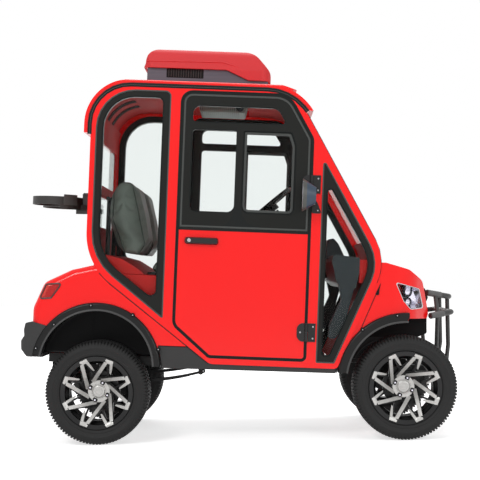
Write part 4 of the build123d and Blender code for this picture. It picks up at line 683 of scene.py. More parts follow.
def add_rim_faces(name, x, side):
    """Bright faces on the black spokes, hub rings, cap, lug nuts and valve."""
    place = wheel_place(x, side)
    faces = Parts()
    for spoke in range(SPOKE_COUNT):
        turn = (spoke + 0.5) * 2 * pi / SPOKE_COUNT

        def spoke_place(px, py, height, turn=turn):
            out = dish_height(hypot(px, py)) - 1 + (FACE_LIFT + 1) * height
            return place(px * cos(turn) - py * sin(turn), px * sin(turn) + py * cos(turn), out)

        for shape in SPOKE_FACES:
            work = bmesh.new()
            work.faces.new([work.verts.new((px, py, 0)) for px, py in shape])
            bmesh.ops.triangulate(work, faces=work.faces)
            bmesh.ops.subdivide_edges(work, edges=work.edges, cuts=2, use_grid_fill=True)
            solid = bmesh.ops.extrude_face_region(work, geom=work.faces)
            for item in solid["geom"]:
                if isinstance(item, bmesh.types.BMVert):
                    item.co.z = 1
            faces.take(work, spoke_place)
    faces.lathe([(r, h + FACE_LIFT) for r, h in HUB_RINGS], place, steps=48)
    faces.piece(f"rim_faces_{name}", ALLOY, f"wheel_{name}", "alloy")
    dark, nuts = Parts(), Parts()
    for stud in range(STUD_COUNT):
        angle = STUD_TURN + stud * 2 * pi / STUD_COUNT
        stud_place = moved(place, STUD_RADIUS * cos(angle), STUD_RADIUS * sin(angle))
        dark.lathe(STUD_RECESS, stud_place, steps=20)
        nuts.lathe(LUG_NUT, stud_place, steps=6)
    dark.lathe(VALVE, moved(place, *VALVE_PLACE), steps=10)
    dark.piece(f"rim_recesses_{name}", ALLOY_BLACK, f"wheel_{name}")
    nuts.piece(f"lug_nuts_{name}", CHROME, f"wheel_{name}", "steel")


# Cab side, as (x, z, corner radius) rows that repeat the part's source
CAB_SIDE = [(-890, 1900, 210), (209, 1900, 262), (733, 1006, 258), (486, 415, 30), (-199, 415, 60),
            (-890, 930, 340)]
DOOR_OPENING = [(-403, 1882, 60), (177, 1882, 120), (314, 1649, 60), (314, 452, 25), (-206, 452, 30),
                (-403, 618, 60)]
REAR_WINDOW = [(-862, 1880, 210), (-461, 1880, 30), (-461, 648, 6), (-862, 958, 300)]
REAR_WINDOW_GLASS = [(-822, 1841, 170), (-504, 1841, 30), (-504, 741, 30), (-822, 978, 260)]
FRONT_WINDOW = [(373, 1548, 10), (697, 997, 225), (470, 444, 8), (371, 444, 8)]
FRONT_WINDOW_GLASS = [(404, 1418, 15), (654, 992, 190), (442, 485, 14), (404, 485, 14)]
REAR_PANE = [(-340, 1677, 20), (-100, 1677, 10), (-100, 1235, 40), (-340, 1235, 30)]
FRONT_PANE = [(-60, 1677, 10), (197, 1677, 15), (222, 1608, 40), (222, 1235, 30), (-60, 1235, 40)]
TOP_PANE = [(-340, 1806, 40), (118, 1806, 50), (170, 1720, 15), (-340, 1720, 20)]
# How far the windshield's straight edge runs forward for each unit down
PILLAR_SLOPE = (CAB_SIDE[2][0] - CAB_SIDE[1][0]) / (CAB_SIDE[1][1] - CAB_SIDE[2][1])


def grown(corners, grow):
    """Points of a rounded outline moved outwards by grow."""
    points = rounded(corners)
    sign = 1 if turning(points) > 0 else -1
    result = []
    count = len(points)
    for index, point in enumerate(points):
        first = point - points[index - 1]
        second = points[(index + 1) % count] - point
        if first.length < 1e-6 or second.length < 1e-6:
            continue
        first.normalize()
        second.normalize()
        mean = Vector((first.y + second.y, -first.x - second.x)).normalized() * sign
        reach = grow / max(0.35, mean.dot(Vector((first.y, -first.x)) * sign))
        result.append(point + mean * reach)
    return result


DOOR_GAP = 11
WAIST_Z = 1141
SEAL_LAP = 6
MULLION_FOOT = [(-104, 1260, 0), (-104, 1226, 20), (-128, 1176, 40), (-176, 1152, 4), (52, 1152, 4),
                (-28, 1180, 40), (-58, 1226, 20), (-58, 1260, 0)]
SEAL = [(-DOOR_GAP, -30), (SEAL_LAP, -1), (SEAL_LAP, 0.4), (SEAL_LAP - 1.5, 1.2), (0.5, 1.2), (-1, -0.6),
        (-DOOR_GAP + 1, -0.8)]
SASH_LIP = [(-5, -3), (5, -3), (5, 1.4), (2.5, 3.2), (-2.5, 3.2), (-5, 1.4)]


def add_side_trim():
    """Rubber seals round doors and windows, and raised window frames with grey edges of painted highlight, on both
    sides.
    """
    rear_x, front_x = DOOR_OPENING[0][0], DOOR_OPENING[2][0]
    inset = DOOR_GAP + 8
    sash = [point for point in grown(DOOR_OPENING, -inset) if point.y > WAIST_Z]
    sash += [Vector((front_x - inset, WAIST_Z + 12)), Vector((rear_x + inset, WAIST_Z + 12))]
    for hand, side in SIDES:
        door = f"door_{hand}"
        place = side_place(side, CAB_HALF_WIDTH)
        Parts().band(grown(DOOR_OPENING, 0.001), SEAL, place).piece(f"door_seal_{hand}", RUBBER)
        glazing, edges = Parts(), Parts()
        for border, glass in ((REAR_WINDOW, REAR_WINDOW_GLASS), (FRONT_WINDOW, FRONT_WINDOW_GLASS)):
            # Grey edges round the windows and the sash lip below are painted highlight on the black frames
            edges.band(grown(border, -2.4), strip(4.2, -4, 1.4, 0.6), place)
            glazing.band(grown(glass, 3.5), strip(4.0, -14, -0.6, 1.0), place)
        edges.piece(f"window_edge_highlights_{hand}", EDGE_HIGHLIGHT_GREY)
        glazing.piece(f"window_glazing_{hand}", RUBBER)
        Parts().band(sash, SASH_LIP, place).piece(f"sash_lip_highlight_{hand}", EDGE_HIGHLIGHT_GREY, door)
        waist = Parts()
        waist.box(((rear_x + front_x) / 2, WAIST_Z - 3, 0.4), (front_x - rear_x - 2 * DOOR_GAP, 13, 3), place, 1.0)
        for pane in (REAR_PANE, FRONT_PANE, TOP_PANE):
            waist.band(grown(pane, 2.5), strip(3.5, -14, 0.8, 0.8), place)
        waist.plate(rounded(MULLION_FOOT), -2, 0.7, place)
        waist.piece(f"pane_glazing_{hand}", RUBBER, door)
        slider = Parts().band(grown(FRONT_PANE, -9), strip(8.5, -26, -10, 0.5), place)
        slider.piece(f"sliding_frame_{hand}", EDGE_HIGHLIGHT_GREY, door)


# Roof edge
DRIP_FRONT_Z, DRIP_REAR_Z = 1790, 1630
DRIP_RAIL = [(-5, 0.3), (16, 0.3), (16, -4), (18, -1), (13, 2.0), (8, 2.4), (0, 2.4), (-5, 1.6)]
# Grey bead on the rail: a painted highlight line along its edge
DRIP_HIGHLIGHT_BEAD = [(3.5, 1.8), (3.8, 3.0), (6.2, 3.0), (6.5, 1.8)]


def roof_run(rear_z, front_z):
    """Cab's side outline over the roof, from its rear forwards, above a height at either end."""
    run = [point for point in rounded(CAB_SIDE) if point.y > (rear_z if point.x < 0 else front_z)]
    return sorted(run, key=lambda point: atan2(point.y - 1500, -(point.x + 300)))


def on_pillar(z):
    """Point of the windshield's straight edge at a height."""
    x, top, radius = CAB_SIDE[1]
    return Vector((x + (top - z) * PILLAR_SLOPE, z))


def add_drip_rails():
    """Black drip rail in the seam between each side frame and the roof, with a grey bead on it as painted
    highlight.
    """
    rear_foot = Vector((CAB_SIDE[0][0], DRIP_REAR_Z))
    path = [rear_foot] + roof_run(DRIP_REAR_Z, DRIP_FRONT_Z) + [on_pillar(DRIP_FRONT_Z)]
    path = [point for index, point in enumerate(path) if index == 0 or (point - path[index - 1]).length > 2]
    for hand, side in SIDES:
        place = side_place(side, CAB_HALF_WIDTH)
        Parts().run(path, DRIP_RAIL, place).piece(f"drip_rail_{hand}", RUBBER)
        Parts().run(path, DRIP_HIGHLIGHT_BEAD, place).piece(f"drip_highlight_bead_{hand}", EDGE_HIGHLIGHT_GREY)


HINGE_LENGTH = 99
HINGE_BOTTOMS = (555, 1353)
HINGE_FACE = 6.3
SCREW_END = 18
PILLAR_SCREW_X, LEAF_SCREW_X = 349, 281
BRACKET_SCREWS = ((333, 1296), (352, 1262))


def screw(parts, place, x, z, radius=5.0):
    """Round screw head with a hex recess, on a hinge or bracket."""
    profile = [(0, 1.2), (radius * 0.45, 1.2), (radius * 0.5, 2.6), (radius * 0.8, 2.4), (radius, 1.2),
               (radius, -1)]
    parts.lathe(profile, moved(place, x, z, HINGE_FACE), steps=12)


def add_fixings():
    """Screws on the hinges and brackets."""
    for hand, side in SIDES:
        place = side_place(side, CAB_HALF_WIDTH)
        fixed, moving = Parts(), Parts()
        for bottom in HINGE_BOTTOMS:
            for z in (bottom + SCREW_END, bottom + HINGE_LENGTH - SCREW_END):
                screw(fixed, place, PILLAR_SCREW_X, z)
            screw(moving, place, LEAF_SCREW_X, bottom + HINGE_LENGTH / 2)
        for x, z in BRACKET_SCREWS:
            screw(fixed, place, x, z, 4)
        fixed.piece(f"pillar_screws_{hand}", STEEL, slot="steel")
        moving.piece(f"leaf_screws_{hand}", STEEL, f"door_{hand}", "steel")


# Seams along the windshield, and between the cab and the fenders
FRONT_SEAM = [(0.2, -38), (3.4, -38), (3.4, -4), (1.8, -1.5), (0.2, -1.5)]
REAR_SEAM = [(0.4, -10), (5.6, -10), (5.6, -1.2), (0.4, -1.0)]


def outline_run(first, last):
    """Points of the cab's side outline between those nearest to two places."""
    points = rounded(CAB_SIDE)
    near, far = (min(range(len(points)), key=lambda index: (points[index] - Vector(end)).length)
                 for end in (first, last))
    return points[near:far + 1] if near <= far else points[near:] + points[:far + 1]


def add_seams():
    """Rubber strips in the joints round the cab's sides."""
    front = [on_pillar(DRIP_FRONT_Z - 6)]
    front += [point for point in outline_run((620, 1200), (700, 900)) if point.y < 1300]
    rear = [Vector((-206, 421))]
    rear += [point for point in outline_run((-600, 720), (-890, 1200)) if point.y < 935]
    for hand, side in SIDES:
        place = side_place(side, CAB_HALF_WIDTH)
        seam = Parts().run(front, FRONT_SEAM, place).run(rear, REAR_SEAM, place)
        seam.piece(f"cab_seam_{hand}", RUBBER)


# Fender shoulder, which drops away from its side towards its top and rear
FENDER_EDGE = [(-700, 960, 0), (-960, 895, 120), (-1108, 820, 60), (-1166, 680, 90), (-1166, 432, 0)]
FENDER_Y = CAB_HALF_WIDTH - 2
FENDER_ROUNDING = 42
EDGE_INSET = 1.5
FENDER_INSIDE = Vector((-1040, 740))
TAILLIGHT = [(-1018, 816, 6), (-1096, 808, 8), (-1128, 732, 8), (-1068, 738, 10), (-1028, 796, 12)]


def edge_distance(point, path):
    """Distance of a point from an open path, and the nearest place on it."""
    best = None
    for start, end in zip(path, path[1:]):
        along = end - start
        share = max(0.0, min(1.0, (point - start).dot(along) / along.length_squared))
        near = start + along * share
        gap = (point - near).length
        if best is None or gap < best[0]:
            best = (gap, near)
    return best


def fender_path():
    """Open outline of the fender's rounded edge."""
    return rounded([(0, 960, 0)] + FENDER_EDGE + [(0, 432, 0)])[1:-1]


def on_fender(point, path, inside, side, out):
    """Point on the fender's skin in metres; one near or beyond its edge is brought inside it."""
    gap, near = edge_distance(point, path)
    if (point - inside).length > (near - inside).length:
        point, gap = near - (near - inside).normalized() * EDGE_INSET, EDGE_INSET
    depth = max(0, FENDER_ROUNDING - max(EDGE_INSET, gap))
    drop = FENDER_ROUNDING - (FENDER_ROUNDING ** 2 - depth ** 2) ** 0.5
    return level(point.x, side * (FENDER_Y - drop + out), point.y)


def add_taillights():
    """Bezel round each tail lamp."""
    path = fender_path()
    fine = []
    loop = grown(TAILLIGHT, 1.5)
    for here, there in zip(loop, loop[1:] + loop[:1]):
        steps = max(1, int((there - here).length / 8))
        fine += [here.lerp(there, step / steps) for step in range(steps)]
    for hand, side in SIDES:
        ring = [on_fender(point, path, FENDER_INSIDE, side, 0.5) for point in fine]
        Parts().tube(ring, 4.6, sides=10, closed=True).piece(f"taillight_bezel_{hand}", BRONZE)


# Headlamps: lens, white rim, bowl and reflectors behind the outer faces of their solids
def lamp_faces(side):
    """Outer faces of a headlight's solid as a bmesh."""
    work = bmesh.new()
    work.from_mesh(NODES["headlights"].data)
    bmesh.ops.remove_doubles(work, verts=work.verts, dist=1e-6)
    drop = [face for face in work.faces
            if face.normal.y * side < 0.15 or face.calc_center_median().y * side < 0.41]
    bmesh.ops.delete(work, geom=drop, context="FACES")
    return work


# Rows of a headlamp's rim and bowl, as (share of the way to the middle, lift in metres)
LAMP_RIM = ((0.0, -0.001), (0.0, 0.0014), (0.03, 0.0018), (0.055, 0.0008), (0.06, -0.012))
LAMP_BOWL = ((0.08, -0.006), (0.16, -0.03), (0.3, -0.05), (0.55, -0.058), (0.8, -0.06))
# Reflectors as (height over the lamp's middle in metres, radius)
REFLECTORS = ((0.022, 26), (-0.034, 22))
REFLECTOR_DEPTH = 0.034


def open_edge(work):
    """Points round the border of a bmesh."""
    border = [edge for edge in work.edges if len(edge.link_faces) == 1]
    ring, used = [border[0].verts[0]], {border[0]}
    vertex = border[0].verts[1]
    while vertex is not ring[0]:
        ring.append(vertex)
        edge = next((e for e in vertex.link_edges if len(e.link_faces) == 1 and e not in used), None)
        if edge is None:
            break
        used.add(edge)
        vertex = edge.other_vert(vertex)
    return [vertex.co.copy() for vertex in ring]


def add_headlights():
    """Clear lens over a chrome bowl with two round reflectors and a white rim."""
    for hand, side in SIDES:
        work = lamp_faces(side)
        centre = sum((v.co for v in work.verts), Vector()) / len(work.verts)
        normal = sum((f.normal * f.calc_area() for f in work.faces), Vector()).normalized()
        work.verts.index_update()
        shell = [v.co.copy() for v in work.verts]
        loops = [tuple(v.index for v in f.verts) for f in work.faces]
        ring = open_edge(work)
        work.free()
        inner = [co.lerp(centre, 0.02) - normal * 0.004 for co in shell]
        lens = Parts().add(shell + inner, loops + [tuple(len(shell) + i for i in reversed(loop)) for loop in loops])
        lens.piece(f"headlight_lens_{hand}", LENS, slot="lamp_clear")

        def rows(shape):
            return [co.lerp(centre, share) + normal * lift for share, lift in shape for co in ring]

        size = len(ring)
        Parts().add(rows(LAMP_RIM), skin(len(LAMP_RIM), size)).piece(f"headlight_rim_{hand}", WHITE)
        bottom = tuple(range((len(LAMP_BOWL) - 1) * size, len(LAMP_BOWL) * size))
        bowl = Parts().add(rows(LAMP_BOWL), skin(len(LAMP_BOWL), size) + [bottom])
        lamp = bowl.piece(f"headlight_bowl_{hand}", CHROME, slot="lamp_clear")
        across = normal.cross(Vector((0, 0, 1))).normalized()
        up = across.cross(normal).normalized()
        glass, dark = Parts(), Parts()
        for rise, radius in REFLECTORS:
            seat = centre + up * rise - normal * REFLECTOR_DEPTH

            def reflector(a, b, height, seat=seat):
                return seat + (across * a + up * b + normal * height) * MM

            dark.lathe([(radius + 4, -14), (radius + 4, 4), (radius + 1, 6), (radius - 1, 3), (radius - 4, -12)],
                       reflector, steps=28)
            glass.lathe([(radius - 2, 0), (radius * 0.8, 7), (radius * 0.45, 12), (0, 14)], reflector, steps=28)
        dark.piece(f"headlight_reflectors_{hand}", DASH_PLASTIC)
        glass.piece(f"headlight_projectors_{hand}", CHROME)
        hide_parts("headlights")


# Cloth-simulated seats
PUFF_FRAMES = 20
PAD_END_STEPS = 5


def seat_sections(corners, left, right, rounding):
    """Sections of a pad whose side outline shrinks towards both ends."""
    turns = [radians(90 * step / PAD_END_STEPS) for step in range(PAD_END_STEPS + 1)]
    ends = [(left + rounding * (1 - cos(turn)), rounding * (1 - sin(turn))) for turn in turns]
    sections = []
    for y, shrink in ends + [(right - (y - left), shrink) for y, shrink in reversed(ends)]:
        loop = grown(corners, -shrink) if shrink > 0.01 else rounded(corners)
        sections.append([level(p.x, y, p.y) for p in loop])
    size = min(len(section) for section in sections)
    return [section[:size] for section in sections]


def puff(piece, voxel, cap):
    """Swells a closed mesh by a cloth simulation with air pressure, and keeps the result."""
    bpy.context.view_layer.objects.active = piece
    remesh = piece.modifiers.new("remesh", "REMESH")
    remesh.mode = "VOXEL"
    remesh.voxel_size = voxel
    apply_all(piece)
    mesh = piece.data
    rest = [vertex.co.copy() for vertex in mesh.vertices]
    cloth = piece.modifiers.new("puff", "CLOTH")
    cloth.settings.quality = 4
    cloth.settings.mass = 0.3
    cloth.settings.tension_stiffness = 12
    cloth.settings.compression_stiffness = 12
    cloth.settings.bending_stiffness = 0.5
    cloth.settings.use_pressure = True
    cloth.settings.uniform_pressure_force = 4
    cloth.settings.effector_weights.gravity = 0
    cloth.collision_settings.use_collision = False
    cloth.point_cache.frame_start = 1
    cloth.point_cache.frame_end = PUFF_FRAMES
    scene = bpy.context.scene
    for number in range(1, PUFF_FRAMES + 1):
        scene.frame_set(number)
    graph = bpy.context.evaluated_depsgraph_get()
    moved = piece.evaluated_get(graph).to_mesh()
    places = [vertex.co.copy() for vertex in moved.vertices]
    piece.evaluated_get(graph).to_mesh_clear()
    piece.modifiers.remove(cloth)
    scene.frame_set(1)
    for vertex, before, after in zip(mesh.vertices, rest, places):
        shift = after - before
        if shift.length > cap:
            shift = shift.normalized() * cap
        vertex.co = before + shift
    mesh.update()


def apply_all(piece):
    """Replaces a piece's mesh by what its modifiers make of it."""
    graph = bpy.context.evaluated_depsgraph_get()
    made = bpy.data.meshes.new_from_object(piece.evaluated_get(graph))
    old = piece.data
    materials = list(old.materials)
    piece.modifiers.clear()
    piece.data = made
    made.materials.clear()
    for material in materials:
        made.materials.append(material)


def fill_pad(name, corners, left, right, rounding, body, node, voxel, cap):
    """Seat pad: crowned form, cloth pass and one subdivision."""
    sections = seat_sections(corners, left, right, rounding)
    form = Parts().add(sum(sections, []), skin(len(sections), len(sections[0]), capped=True))
    piece = form.piece(name, SEAT, body, "seat_vinyl", smooth=False)
    puff(piece, voxel, cap)
    smooth = piece.modifiers.new("smooth", "SMOOTH")
    smooth.factor = 0.5
    smooth.iterations = 3
    divide = piece.modifiers.new("divide", "SUBSURF")
    divide.levels = divide.render_levels = 1
    apply_all(piece)
    piece.data.polygons.foreach_set("use_smooth", [True] * len(piece.data.polygons))
    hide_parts(node)
    return piece


CUSHION = [(-548, 946, 34), (-352, 962, 300), (-150, 966, 44), (-128, 936, 30), (-138, 899, 16), (-552, 899, 16)]
SEAT_BACK = [(-766, 1335, 50), (-768, 1180, 80), (-694, 988, 24), (-612, 982, 20), (-580, 1042, 34),
             (-612, 1205, 150), (-664, 1394, 30), (-730, 1398, 34)]
SEAT_Y, SEAT_HALF = 280, 218
CUSHION_HALF = 508
SEAT_HINGE_X, SEAT_HINGE_Z = -205, 877


def piping(parts, piece, loop, radius):
    """Round seam that follows the nearest skin of a pad."""
    tree = BVHTree.FromPolygons([v.co.copy() for v in piece.data.vertices],
                                [tuple(p.vertices) for p in piece.data.polygons])
    parts.tube([tree.find_nearest(point)[0] for point in loop], radius, sides=8, closed=True)


def add_seats():
    """Two-part bench cushion and two backs, with piped edges and a base board."""
    seams = Parts()
    pad = fill_pad("bench_cushion", CUSHION, -CUSHION_HALF, CUSHION_HALF, 26, "seat_cushion", "seat_cushion",
                   0.0085, 0.024)
    for y in (-CUSHION_HALF + 9, 0, CUSHION_HALF - 9):
        loop = [level(p.x, y, p.y) for p in grown(CUSHION, 12) if p.y > 930 or abs(y) > 1]
        piping(seams, pad, loop, 3.6)
    seams.piece("cushion_piping", SEAM, "seat_cushion", "seat_vinyl")
    board = Parts().box((-345, 0, 889), (432, 2 * CUSHION_HALF + 6, 17), bevel=3)
    for side in (RIGHT, LEFT):
        board.lathe([(3.05, -27), (6, -27), (6, 27), (3.05, 27)],
                    lambda a, b, h, side=side: level(SEAT_HINGE_X + a, side * 300 + h, SEAT_HINGE_Z + b),
                    steps=16, closed=True)
        board.box((-212, side * 300, 884), (26, 50, 4))
    board.piece("cushion_board", PLASTIC, "seat_cushion")
    for hand, side in SIDES:
        left, right = side * SEAT_Y - SEAT_HALF, side * SEAT_Y + SEAT_HALF
        pad = fill_pad(f"seat_back_{hand}", SEAT_BACK, left, right, 30, "chassis", "seat_backs",
                       0.0075, 0.022)
        rims = Parts()
        for y in (left + 12, right - 12):
            piping(rims, pad, [level(p.x, y, p.y) for p in grown(SEAT_BACK, 10)], 3.4)
        rims.piece(f"seat_back_piping_{hand}", SEAM, slot="seat_vinyl")


# Wheel wells: black liners over the seat pod's arches and inside the front fenders
REAR_ARCH = (-810, 373, 347)
ARCH_WALL_Y = 383
LINER_FOOT_Z = 440
LINER_REAR_X = -862
FLARE_INNER_R = 300
FLARE_WALL_Y = 386.6
FRONT_LINER = [(545, 575, 0), (620, 705, 10), (1000, 705, 10), (1003, 612, 10), (950, 588, 20)]
FRONT_LINER_Y = 296


def arc(centre_x, centre_z, radius, first, last, steps=24):
    """Points along an arc in the side plane."""
    angles = [first + (last - first) * step / steps for step in range(steps + 1)]
    return [Vector((centre_x + radius * cos(angle), centre_z + radius * sin(angle))) for angle in angles]


def add_liners():
    """Black liners that hide the red inside of the wheel wells."""
    x, z, radius = REAR_ARCH
    first = atan2((radius ** 2 - (LINER_REAR_X - x) ** 2) ** 0.5, LINER_REAR_X - x)
    last = atan2(LINER_FOOT_Z - z, (radius ** 2 - (LINER_FOOT_Z - z) ** 2) ** 0.5)
    path = arc(x, z, radius - 1, first, last)
    tail = arc(x, z, FLARE_INNER_R, pi - atan2(LINER_FOOT_Z - z, FLARE_INNER_R), first)
    foot = Vector((LINER_REAR_X, LINER_FOOT_Z))
    section = [(across, ARCH_WALL_Y + 1) for across in (-1.5, 0.5)] + [(0.5, 560), (-1.5, 560)]
    for hand, side in SIDES:
        place = side_place(side)
        liner = Parts().run(path, section, place)
        liner.plate(path + [foot], ARCH_WALL_Y + 0.4, ARCH_WALL_Y + 2.4, place)
        liner.plate(tail + [foot], FLARE_WALL_Y, FLARE_WALL_Y + 2, place)
        liner.piece(f"rear_liner_{hand}", DARK)
        apron = Parts().plate(rounded(FRONT_LINER), FRONT_LINER_Y - 3, FRONT_LINER_Y, place)
        apron.piece(f"front_liner_{hand}", DARK)


# Air conditioner: louvre block, a dark strip of painted shade under its base, and crease
UNIT_BASE_Y, UNIT_COVER_Y = 292, 311
LOUVRE = [(-516, 2052, 4), (-306, 2052, 4), (-306, 2000, 4), (-516, 2000, 4)]
LOUVRE_BARS, BAR_STEP = 14, 14
CREASE = [Vector((-628, 2088)), Vector((-200, 2094)), Vector((40, 2030))]


def add_roof_unit():
    """Details of the rooftop unit on both sides."""
    for hand, side in SIDES:
        place = side_place(side, UNIT_BASE_Y)
        bars = Parts()
        for index in range(LOUVRE_BARS):
            bars.box((-503 + index * BAR_STEP, 2027, 1.2), (5, 46, 4), place, 1.0)
        bars.piece(f"unit_bars_{hand}", BUMPER_GREY)
        # Black plate behind the louvre bars, and a long dark strip along the base's lower edge that is painted
        # shade
        dark = Parts().plate(rounded(LOUVRE), -0.5, 0.6, place).box((-290, 1946, 1.0), (600, 14, 3), place, 1.0)
        dark.piece(f"unit_louvre_and_shade_{hand}", DARK)
        crease = Parts().run(CREASE, [(-3, -16), (3, -16), (3, -0.5), (0, 1.6), (-3, -0.5)],
                             side_place(side, UNIT_COVER_Y))
        crease.piece(f"unit_crease_{hand}", COVER_RED, slot="roof_plastic")


# Cab lining: headliner with slots drawn as strips of painted shade, ceiling grille, and the red shelf behind the
# seats
HEADLINER_HALF = 562
HEADLINER_GAP = (-345, -48)
CEILING_Z = CAB_SIDE[0][1]
SLOT_ROWS = (-240, -20, 200)
SLOT_HALF = 46
GRILLE_X, GRILLE_BARS, GRILLE_STEP = -322, 20, 11.5
VENT_Y, VENT_Z, VENT_BOTTOM = 150, 1862, 1832
SHELF = [(-850, 882, 0), (-850, 945, 30), (-800, 985, 40), (-700, 962, 60), (-600, 905, 40), (-575, 882, 0)]
SHELF_HALF = 556


def across_cart(low, high, half, middle=0):
    """Section of a sheet as wide as the cart's inside, between two distances from its path."""
    return [(low, middle - half), (high, middle - half), (high, middle + half), (low, middle + half)]


def add_lining():
    """Headliner, ceiling slots in painted shade, vent grille and parcel shelf."""
    place = side_place(LEFT)
    top = roof_run(1650, 1650)
    rear = [point for point in top if point.x < HEADLINER_GAP[0]] + [Vector((HEADLINER_GAP[0], CEILING_Z))]
    front = [Vector((HEADLINER_GAP[1], CEILING_Z))] + [point for point in top if point.x > 0]
    lining = Parts()
    for path in (rear, front):
        lining.run(path, across_cart(-3.5, -1, HEADLINER_HALF), place)
    # The headliner and the shelf take the inside red, which is partly painted shade
    lining.piece("headliner", SHADED_INNER_RED)
    slots = Parts()
    for y in SLOT_ROWS:
        slots.run(arc(-680, 1690, 205, radians(98), radians(158), 14), across_cart(-1.2, 0.8, SLOT_HALF, y), place)
    slots.piece("ceiling_slot_shade", SLOT_SHADE_RED)
    grille = Parts()
    bars = [GRILLE_X + index * GRILLE_STEP for index in range(GRILLE_BARS)]
    for side in (RIGHT, LEFT):
        for x in bars:
            grille.box((x, VENT_Z, 0.8), (5, 44, 3), side_place(side, VENT_Y), 0.8)
    for x in bars:
        grille.box((x, 0, 0.8), (5, 276, 3), lambda x, y, out: level(x, y, VENT_BOTTOM - out), 0.8)
    grille.piece("ceiling_grille", PLATE_GREY)
    knob = Parts().lathe([(0, 16), (18, 14), (24, 8), (25, -1)], moved(side_place(RIGHT, VENT_Y), -95, VENT_Z))
    knob.piece("vent_knob", DASH_PLASTIC)
    shelf = Parts().plate(rounded(SHELF), -SHELF_HALF, SHELF_HALF, place)
    shelf.piece("parcel_shelf", SHADED_INNER_RED, slot="red_paint")


# Bolts and rolled lips on the flares; a bolt is (x, z, face) and a lip (x, z, radius, first and last degree)
FLARE_FACE = 622
FLARE_BOLTS = ((-848, 705, FLARE_FACE), (-621, 662, FLARE_FACE), (-1042, 595, FLARE_FACE),
               (-1134, 464, FLARE_FACE), (-476, 483, FLARE_FACE), (798, 714, FLARE_FACE),
               (615, 632, FLARE_FACE), (-231, 376, 600))
# The lips are drawn in the guard's lighter grey as a painted highlight on the black flares
FLARE_LIPS = ((-810, 373, 309, 3, 171), (860, 361, 322, 90, 174))


def add_flare_bolts():
    """Dark washers with a bright hexagon, on the flares and the rocker."""
    for hand, side in SIDES:
        washers, heads = Parts(), Parts()
        for x, z, base in FLARE_BOLTS:
            place = moved(side_place(side, base), x, z)
            washers.lathe([(0, 2.2), (9, 2.2), (11.5, 0.9), (12, -4)], place, steps=20)
            heads.lathe([(0, 5.2), (2.6, 4.9), (3.6, 3.8), (3.8, 1)], place, steps=6)
        washers.piece(f"flare_washers_{hand}", DARK)
        heads.piece(f"flare_bolts_{hand}", STEEL, slot="steel")


def add_flare_lips():
    """Rolled lip along the inner edge of each flare, lighter grey as a painted highlight."""
    for hand, side in SIDES:
        lips = Parts()
        for x, z, radius, first, last in FLARE_LIPS:
            lips.run(arc(x, z, radius, radians(first), radians(last), 48),
                     [(-6, -1), (-5, 2.2), (-2, 3.4), (3, 2.2), (6, -1)], side_place(side, FLARE_FACE))
        lips.piece(f"flare_lip_highlights_{hand}", GUARD)


# Wedge where the cowl's joint opens, and its lower run
COWL_FACE = 600
COWL_WEDGE = [(706, 886, 0), (700, 852, 0), (698, 820, 6), (676, 820, 6), (690, 850, 0)]
COWL_JOINT = [Vector((683, 826)), Vector((609, 639))]


def add_cowl_joint():
    """Dark joint between the cowl and the cab's side."""
    for hand, side in SIDES:
        place = side_place(side, COWL_FACE)
        wedge = Parts().plate(rounded(COWL_WEDGE), -30, 1.2, place)
        wedge.run(COWL_JOINT, [(-1.4, -20), (1.4, -20), (1.4, 0.8), (-1.4, 0.8)], place)
        wedge.piece(f"cowl_wedge_{hand}", DARK)


# Rough sleeves over the brush guard's tubes, from end to end
GUARD_SLEEVES = (((1037, 328, 783.5), (1120, 276, 768.4)), ((1045, 398, 656.4), (1123, 346, 666.2)))
SLEEVE_RADIUS = 17.5


def add_guard_sleeves():
    """Sleeves on both sides of the guard."""
    sleeves = Parts()
    for (x0, y0, z0), (x1, y1, z1) in GUARD_SLEEVES:
        for side in (RIGHT, LEFT):
            start, end = ground(x0, side * y0, z0), ground(x1, side * y1, z1)
            sleeves.tube([start.lerp(end, step / 6) for step in range(7)], SLEEVE_RADIUS, sides=20)
    sleeves.piece("guard_sleeves", SLEEVE)


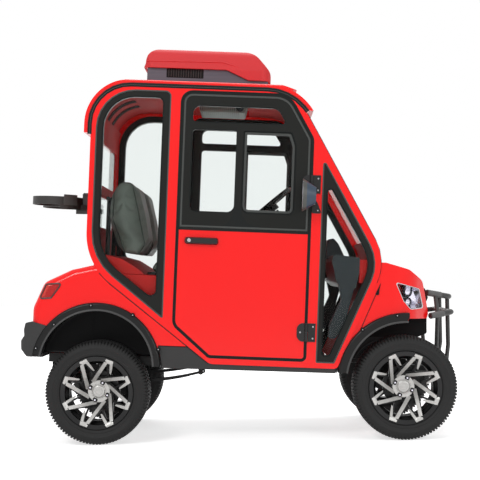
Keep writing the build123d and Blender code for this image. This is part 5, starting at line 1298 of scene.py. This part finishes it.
# Bag holder: buckle plate and lower strap on the outer side of each ring
HOLDER_X, HOLDER_Y, HOLDER_RADIUS = -1115, 175, 149.5
BUCKLE = [(-3, 1256), (-3, 1312), (-1, 1315), (1, 1315), (3, 1312), (3, 1256)]
STRAP = [(-1.2, 1232), (-1.2, 1262), (1.2, 1262), (1.2, 1232)]


def add_holder_straps():
    """Buckle and lower strap of both bag loops."""
    for hand, side in SIDES:
        middle = side * HOLDER_Y

        def ring_arc(first, last):
            turns = [radians(first + (last - first) * step / 12) for step in range(13)]
            return [Vector((HOLDER_X + HOLDER_RADIUS * sin(turn), middle + side * HOLDER_RADIUS * cos(turn)))
                    for turn in turns]

        Parts().run(ring_arc(20, 52), BUCKLE, level).piece(f"holder_buckle_{hand}", PLATE_GREY)
        path = ring_arc(12, 66) + [Vector((-905, middle + side * 30))]
        Parts().run(path, STRAP, level).piece(f"holder_strap_{hand}", WEBBING)


LOCK_X, LOCK_Z = -334, 1076
LOCK = [(0, 26.6), (3.4, 26.6), (3.6, 25.2), (8.5, 26.2), (10, 24.8), (10.4, 20)]
MIRROR_X, MIRROR_Y, MIRROR_Z = 264, 690, 1338
MIRROR_HALF_WIDTH, MIRROR_HALF_HEIGHT = 46, 82


def add_door_details():
    """Door lock and mirror glass."""
    for hand, side in SIDES:
        lock = Parts().lathe(LOCK, moved(side_place(side, CAB_HALF_WIDTH), LOCK_X, LOCK_Z), steps=20)
        lock.piece(f"door_lock_{hand}", STEEL, f"door_{hand}", "steel")

        def on_mirror(a, b, h):
            return level(MIRROR_X - h, side * (MIRROR_Y + a * MIRROR_HALF_WIDTH), MIRROR_Z + b * MIRROR_HALF_HEIGHT)

        glass = Parts().lathe([(0, 1.6), (0.94, 1.4), (0.98, 0.4), (0.98, -0.4)], on_mirror, steps=36)
        glass.piece(f"mirror_glass_{hand}", CHROME, f"door_{hand}")


dress_nodes()
add_camera()
for wheel in WHEELS:
    add_tyre(*wheel)
    add_rim_faces(*wheel)
add_side_trim()
add_drip_rails()
add_fixings()
add_seams()
add_taillights()
add_headlights()
add_liners()
add_roof_unit()
add_lining()
add_flare_bolts()
add_flare_lips()
add_cowl_joint()
add_guard_sleeves()
add_holder_straps()
add_door_details()
add_seats()
add_surroundings()

bpy.context.scene.view_settings.view_transform = "Standard"
